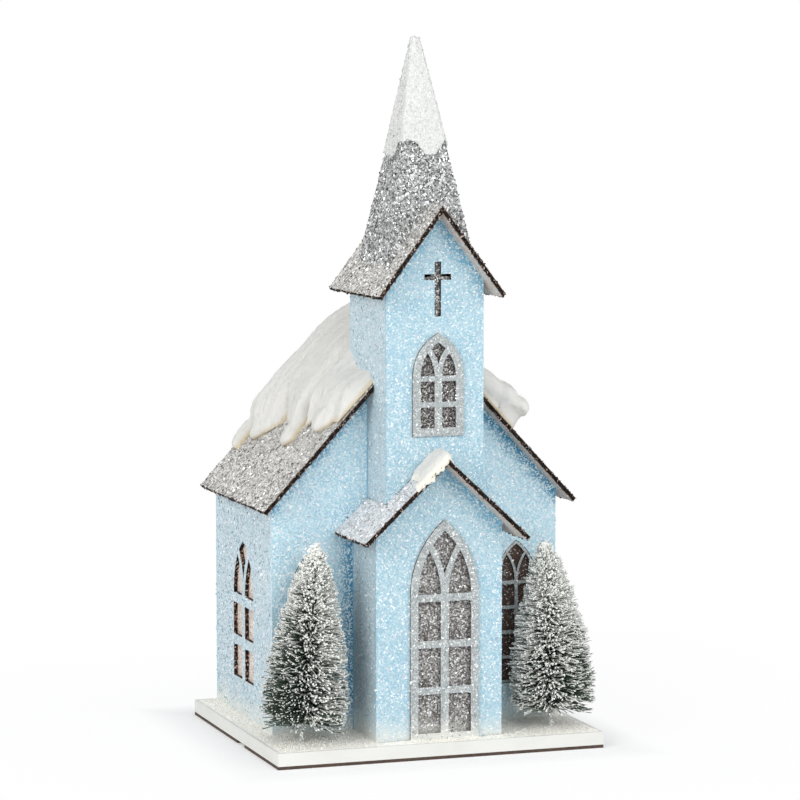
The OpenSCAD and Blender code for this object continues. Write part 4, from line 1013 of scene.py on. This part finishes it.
# Bristles curl and hang a little, then the frosted ones are cut back to where the frost starts
curl = add("TexNoise", Vector=place, Scale=1 / 0.0045, Detail=2.0).outputs["Color"]
curl = add("VectorMath SUBTRACT", curl, (0.5, 0.5, 0.55))
curl = add("VectorMath SCALE", curl, Scale=add("Math MULTIPLY", along, 0.0075))
bent = add("SetPosition", Geometry=wires, Offset=curl)
kept_rise = add("InputNamedAttribute FLOAT", Name="rise")
bare = add("RandomValue FLOAT", Min=0.45, Max=1.35, Seed=add("Math ADD", given["Seed"], 5.0))
frost_from = add("Math MULTIPLY", bare, given["Frost_From"])
frost_from = add("Math SUBTRACT", frost_from, add("Math MULTIPLY", kept_rise, given["Frost_Rise"]))
kept_bareness = add("InputNamedAttribute FLOAT", Name="bareness")
frost_from = add("Math ADD", frost_from, add("Math MULTIPLY", kept_bareness, given["Frost_Rise"]))
frost_from = add("Clamp", frost_from, 0.0, 0.97)
cut = add("TrimCurve", Curve=bent, Start=frost_from, End=1.0, mode="FACTOR")
lumps = add("TexNoise", Vector=place, Scale=1 / 0.0011, Detail=1.0)
girth = add("Math MULTIPLY_ADD", lumps, 1.6, 0.2)
round_wire = add("CurvePrimitiveCircle", Resolution=3, Radius=given["Thickness"])
skin = add("CurveToMesh", Curve=cut, Profile_Curve=round_wire, Scale=girth, Fill_Caps=True)
tips = add("CurveEndpointSelection", Start_Size=0, End_Size=1)
likely = add("Math MULTIPLY", given["Grain_Share"], add("Math MULTIPLY_ADD", tips, 0.5, 0.5))
chosen = add("RandomValue BOOLEAN", Probability=likely, Seed=9)
grain = add("MeshUVSphere", Radius=1.0, Segments=4, Rings=2)
rolled = add("RandomValue FLOAT_VECTOR", (0, 0, 0), (3, 3, 3), Seed=15)
rolled = add("EulerToRotation", rolled)
grain_size = add("RandomValue FLOAT", Min=0.5, Max=1.15, Seed=12)
grain_size = add("Math MULTIPLY", grain_size, add("Math MULTIPLY_ADD", tips, 0.3, 0.7))
grains = add("InstanceOnPoints", Points=cut, Selection=chosen, Instance=grain, Rotation=rolled,
    Scale=add("Math MULTIPLY", add("Math MULTIPLY", grain_size, given["Grain"]),
    add("Math MULTIPLY_ADD", kept_bareness, -0.7, 1.0)))
closed(add, add("JoinGeometry", [skin, grains]), given["Finish"])

# The stem: two wires twisted round each other
twisting, add, given = new_growth("twisted wires", "Wire Pitch Height")
turns = add("Math DIVIDE", given["Height"], given["Pitch"])
coil = add("CurveSpiral", Resolution=10, Rotations=turns, Start_Radius=given["Wire"],
    End_Radius=given["Wire"], Height=given["Height"])
other = add("Transform", coil, Rotation=(0, 0, math.pi))
pair = add("JoinGeometry", [coil, other])
round_wire = add("CurvePrimitiveCircle", Resolution=8, Radius=given["Wire"])
skin = add("CurveToMesh", Curve=pair, Profile_Curve=round_wire, Fill_Caps=True)
closed(add, skin, given["Finish"])

# Sisal is matt and takes the dye unevenly; frost grains are white and slightly glossy; the wire
# shows grey metal where its dusting of frost has gaps
sisal = mottled("dyed_green_sisal", "#2c3f32", "#7f8e81", 0.0016, 2.0, spread=(0.4, 0.75),
    Roughness=0.7)
frost = mottled("white_frost_on_sisal", "#bdc2ba", "#fdfdf9", 0.0009, 2.0, spread=(0.3, 0.55),
    Roughness=0.4)
frosted_wire = mottled("galvanised_wire_dusted_with_frost", "#7f8680", "#f0f1ee", 0.0012, 3.0,
                       spread=(0.35, 0.55), bump=(0.6, 0.0004), Roughness=0.55)
mid_slab, wire_r, wire_pitch, bare_foot = 0.0045, 0.0007, 0.0042, 0.0075
tree_y, brush_r, room_to_wall = -0.049, 0.0197, 0.0168
for word, foot_x, height, lean, bare_side, fuller, frosty, seed in (
    ("left", -0.0615, 0.0925, 4.6, math.pi, -0.03, (0.87, 0.52), 5),
    ("right", 0.0615, 0.0885, -2.6, 0.0, 0.07, (0.82, 0.64), 8),
):
    foot = Vector((foot_x, tree_y, mid_slab))
    stand = Matrix.Translation(foot) @ Matrix.Rotation(math.radians(lean), 4, "Y")
    top = height + 0.003
    empty = bpy.data.meshes.new("start")
    sizes = {"Bristles": 5200, "Foot": mid_slab + bare_foot, "Top": top - 0.0015,
        "Radius": brush_r, "Room": room_to_wall, "Pitch": wire_pitch, "Seed": seed,
        "Bare_Side": bare_side, "Fuller": fuller}
    green = grown(brush, word + "_tree_bristles_green", empty, **sizes, Thickness=0.00021,
        Frost_From=0.0, Frost_Rise=0.0, Grain=0.0004, Grain_Share=0.0, Finish=sisal)
    white = grown(brush, word + "_tree_frost", empty, **sizes, Thickness=0.00028,
        Frost_From=frosty[0], Frost_Rise=frosty[1], Grain=0.00060, Grain_Share=0.85, Finish=frost)
    stem = grown(twisting, word + "_tree_twisted_wires", empty, Wire=wire_r, Pitch=wire_pitch,
        Height=top - 0.001, Finish=frosted_wire)
    for piece in (green, white, stem):
        piece.data.transform(stand)
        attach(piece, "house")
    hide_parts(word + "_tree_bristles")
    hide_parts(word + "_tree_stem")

# Light unit: moulded plastic case, door and switch, bright plated contacts and a frosted lamp.
# Moulded plastic has one even colour, and the fine grit of its spark-eroded mould breaks its
# sheen; the cells' shrink film is smoother, and the plated contacts are rubbed dull in places.
for name, colour, grit, names in (
    ("white_abs_moulded", "#e6e5e1", 0.0004, ("battery_case", "battery_door")),
    ("black_abs_moulded", "#161616", 0.0004, ("switch_body", "switch_knob")),
    ("shrink_film_on_cells", "#3f5a78", 0.002, ("battery_cells",)),
):
    dress(mottled(name, colour, colour, grit, 3.0, bump=(0.35, 0.00008), Roughness=0.48), *names)
plate, add = new_finish("nickel_plated_spring_steel")
where = add("TexCoord").outputs["Object"]
rub = add("TexNoise", Vector=where, Scale=1 / 0.001, Detail=3.0)
dull = add("MapRange", rub, 0.0, 1.0, 0.2, 0.45)
add("OutputMaterial", add("BsdfPrincipled", Base_Color="#c9c6bf", Roughness=dull, Metallic=1.0))
dress(plate, "battery_contacts", "lamp_leads")
# Cloudy warm epoxy that light sinks a little way into
lens = mottled("frosted_epoxy_lamp", "#f3e6c4", "#fff7e2", 0.0015, 2.0, Roughness=0.35,
               Subsurface_Weight=0.3, Subsurface_Scale=0.002)
dress(lens, "lamp")

# Studio: a white paper floor that keeps a faint shadow, three big soft lights, and an even
# white surround that lights from all round.
floor_mesh = bpy.data.meshes.new("floor")
floor_mesh.from_pydata([(-8, -8, 0), (8, -8, 0), (8, 8, 0), (-8, 8, 0)], [], [(0, 1, 2, 3)])
floor = placed("floor", floor_mesh)
finish, add = new_finish("white_paper_floor")
looked_at = add("LightPath").outputs["Is Camera Ray"]
matt = add("BsdfDiffuse", Color=(0.9, 0.9, 0.9, 1))
glow = add("Emission", Color=(1, 1, 1, 1), Strength=1.0)
spot = add("VectorMath ABSOLUTE", add("TexCoord").outputs["Object"])
spot = add("SeparateXYZ", spot)
off_side = add("Math SUBTRACT", spot.outputs[0], cad_box[1].x)
off_end = add("Math SUBTRACT", spot.outputs[1], cad_box[1].y)
off_base = add("Math MAXIMUM", off_side, off_end)
near = add("MapRange", off_base, -0.004, 0.026, 0.0, 0.9)
far = add("MapRange", off_base, 0.026, 0.2, 0.0, 0.1)
white_share = add("Math ADD", near, far)
amount = add("Math MULTIPLY", looked_at, white_share)
paper = add("MixShader", amount, matt, glow)
add("OutputMaterial", Surface=paper)
floor_mesh.materials.append(finish)
for name, place, size, power in (
    ("key", (0.2, -2.3, 1.5), 1.6, 22.0),
    ("fill", (-2.3, -1.2, 1.3), 1.8, 35.0),
    ("right", (2.2, -1.5, 1.2), 1.8, 12.5),
):
    light = placed(name, bpy.data.lights.new(name, "AREA"))
    light.data.size = size
    light.data.energy = power
    light.location = place
    towards = Vector((0, 0, 0.12)) - light.location
    light.rotation_euler = towards.to_track_quat("-Z", "Y").to_euler()
world = bpy.data.worlds.new("surround")
bpy.context.scene.world = world
world.use_nodes = True
world.node_tree.nodes.clear()
add = partial(put, world.node_tree)
ray = add("LightPath")
looked_at = add("Math MAXIMUM", ray.outputs["Is Camera Ray"], ray.outputs["Is Glossy Ray"])
looked_at = add("Math MAXIMUM", looked_at, ray.outputs["Is Transmission Ray"])
lit = add("Background", Color=(0.97, 0.985, 1, 1), Strength=0.67)
white = add("Background", Color=(1, 1, 1, 1), Strength=1.0)
both = add("MixShader", looked_at, lit, white)
add("OutputWorld", Surface=both)
bpy.context.scene.view_settings.view_transform = "Standard"
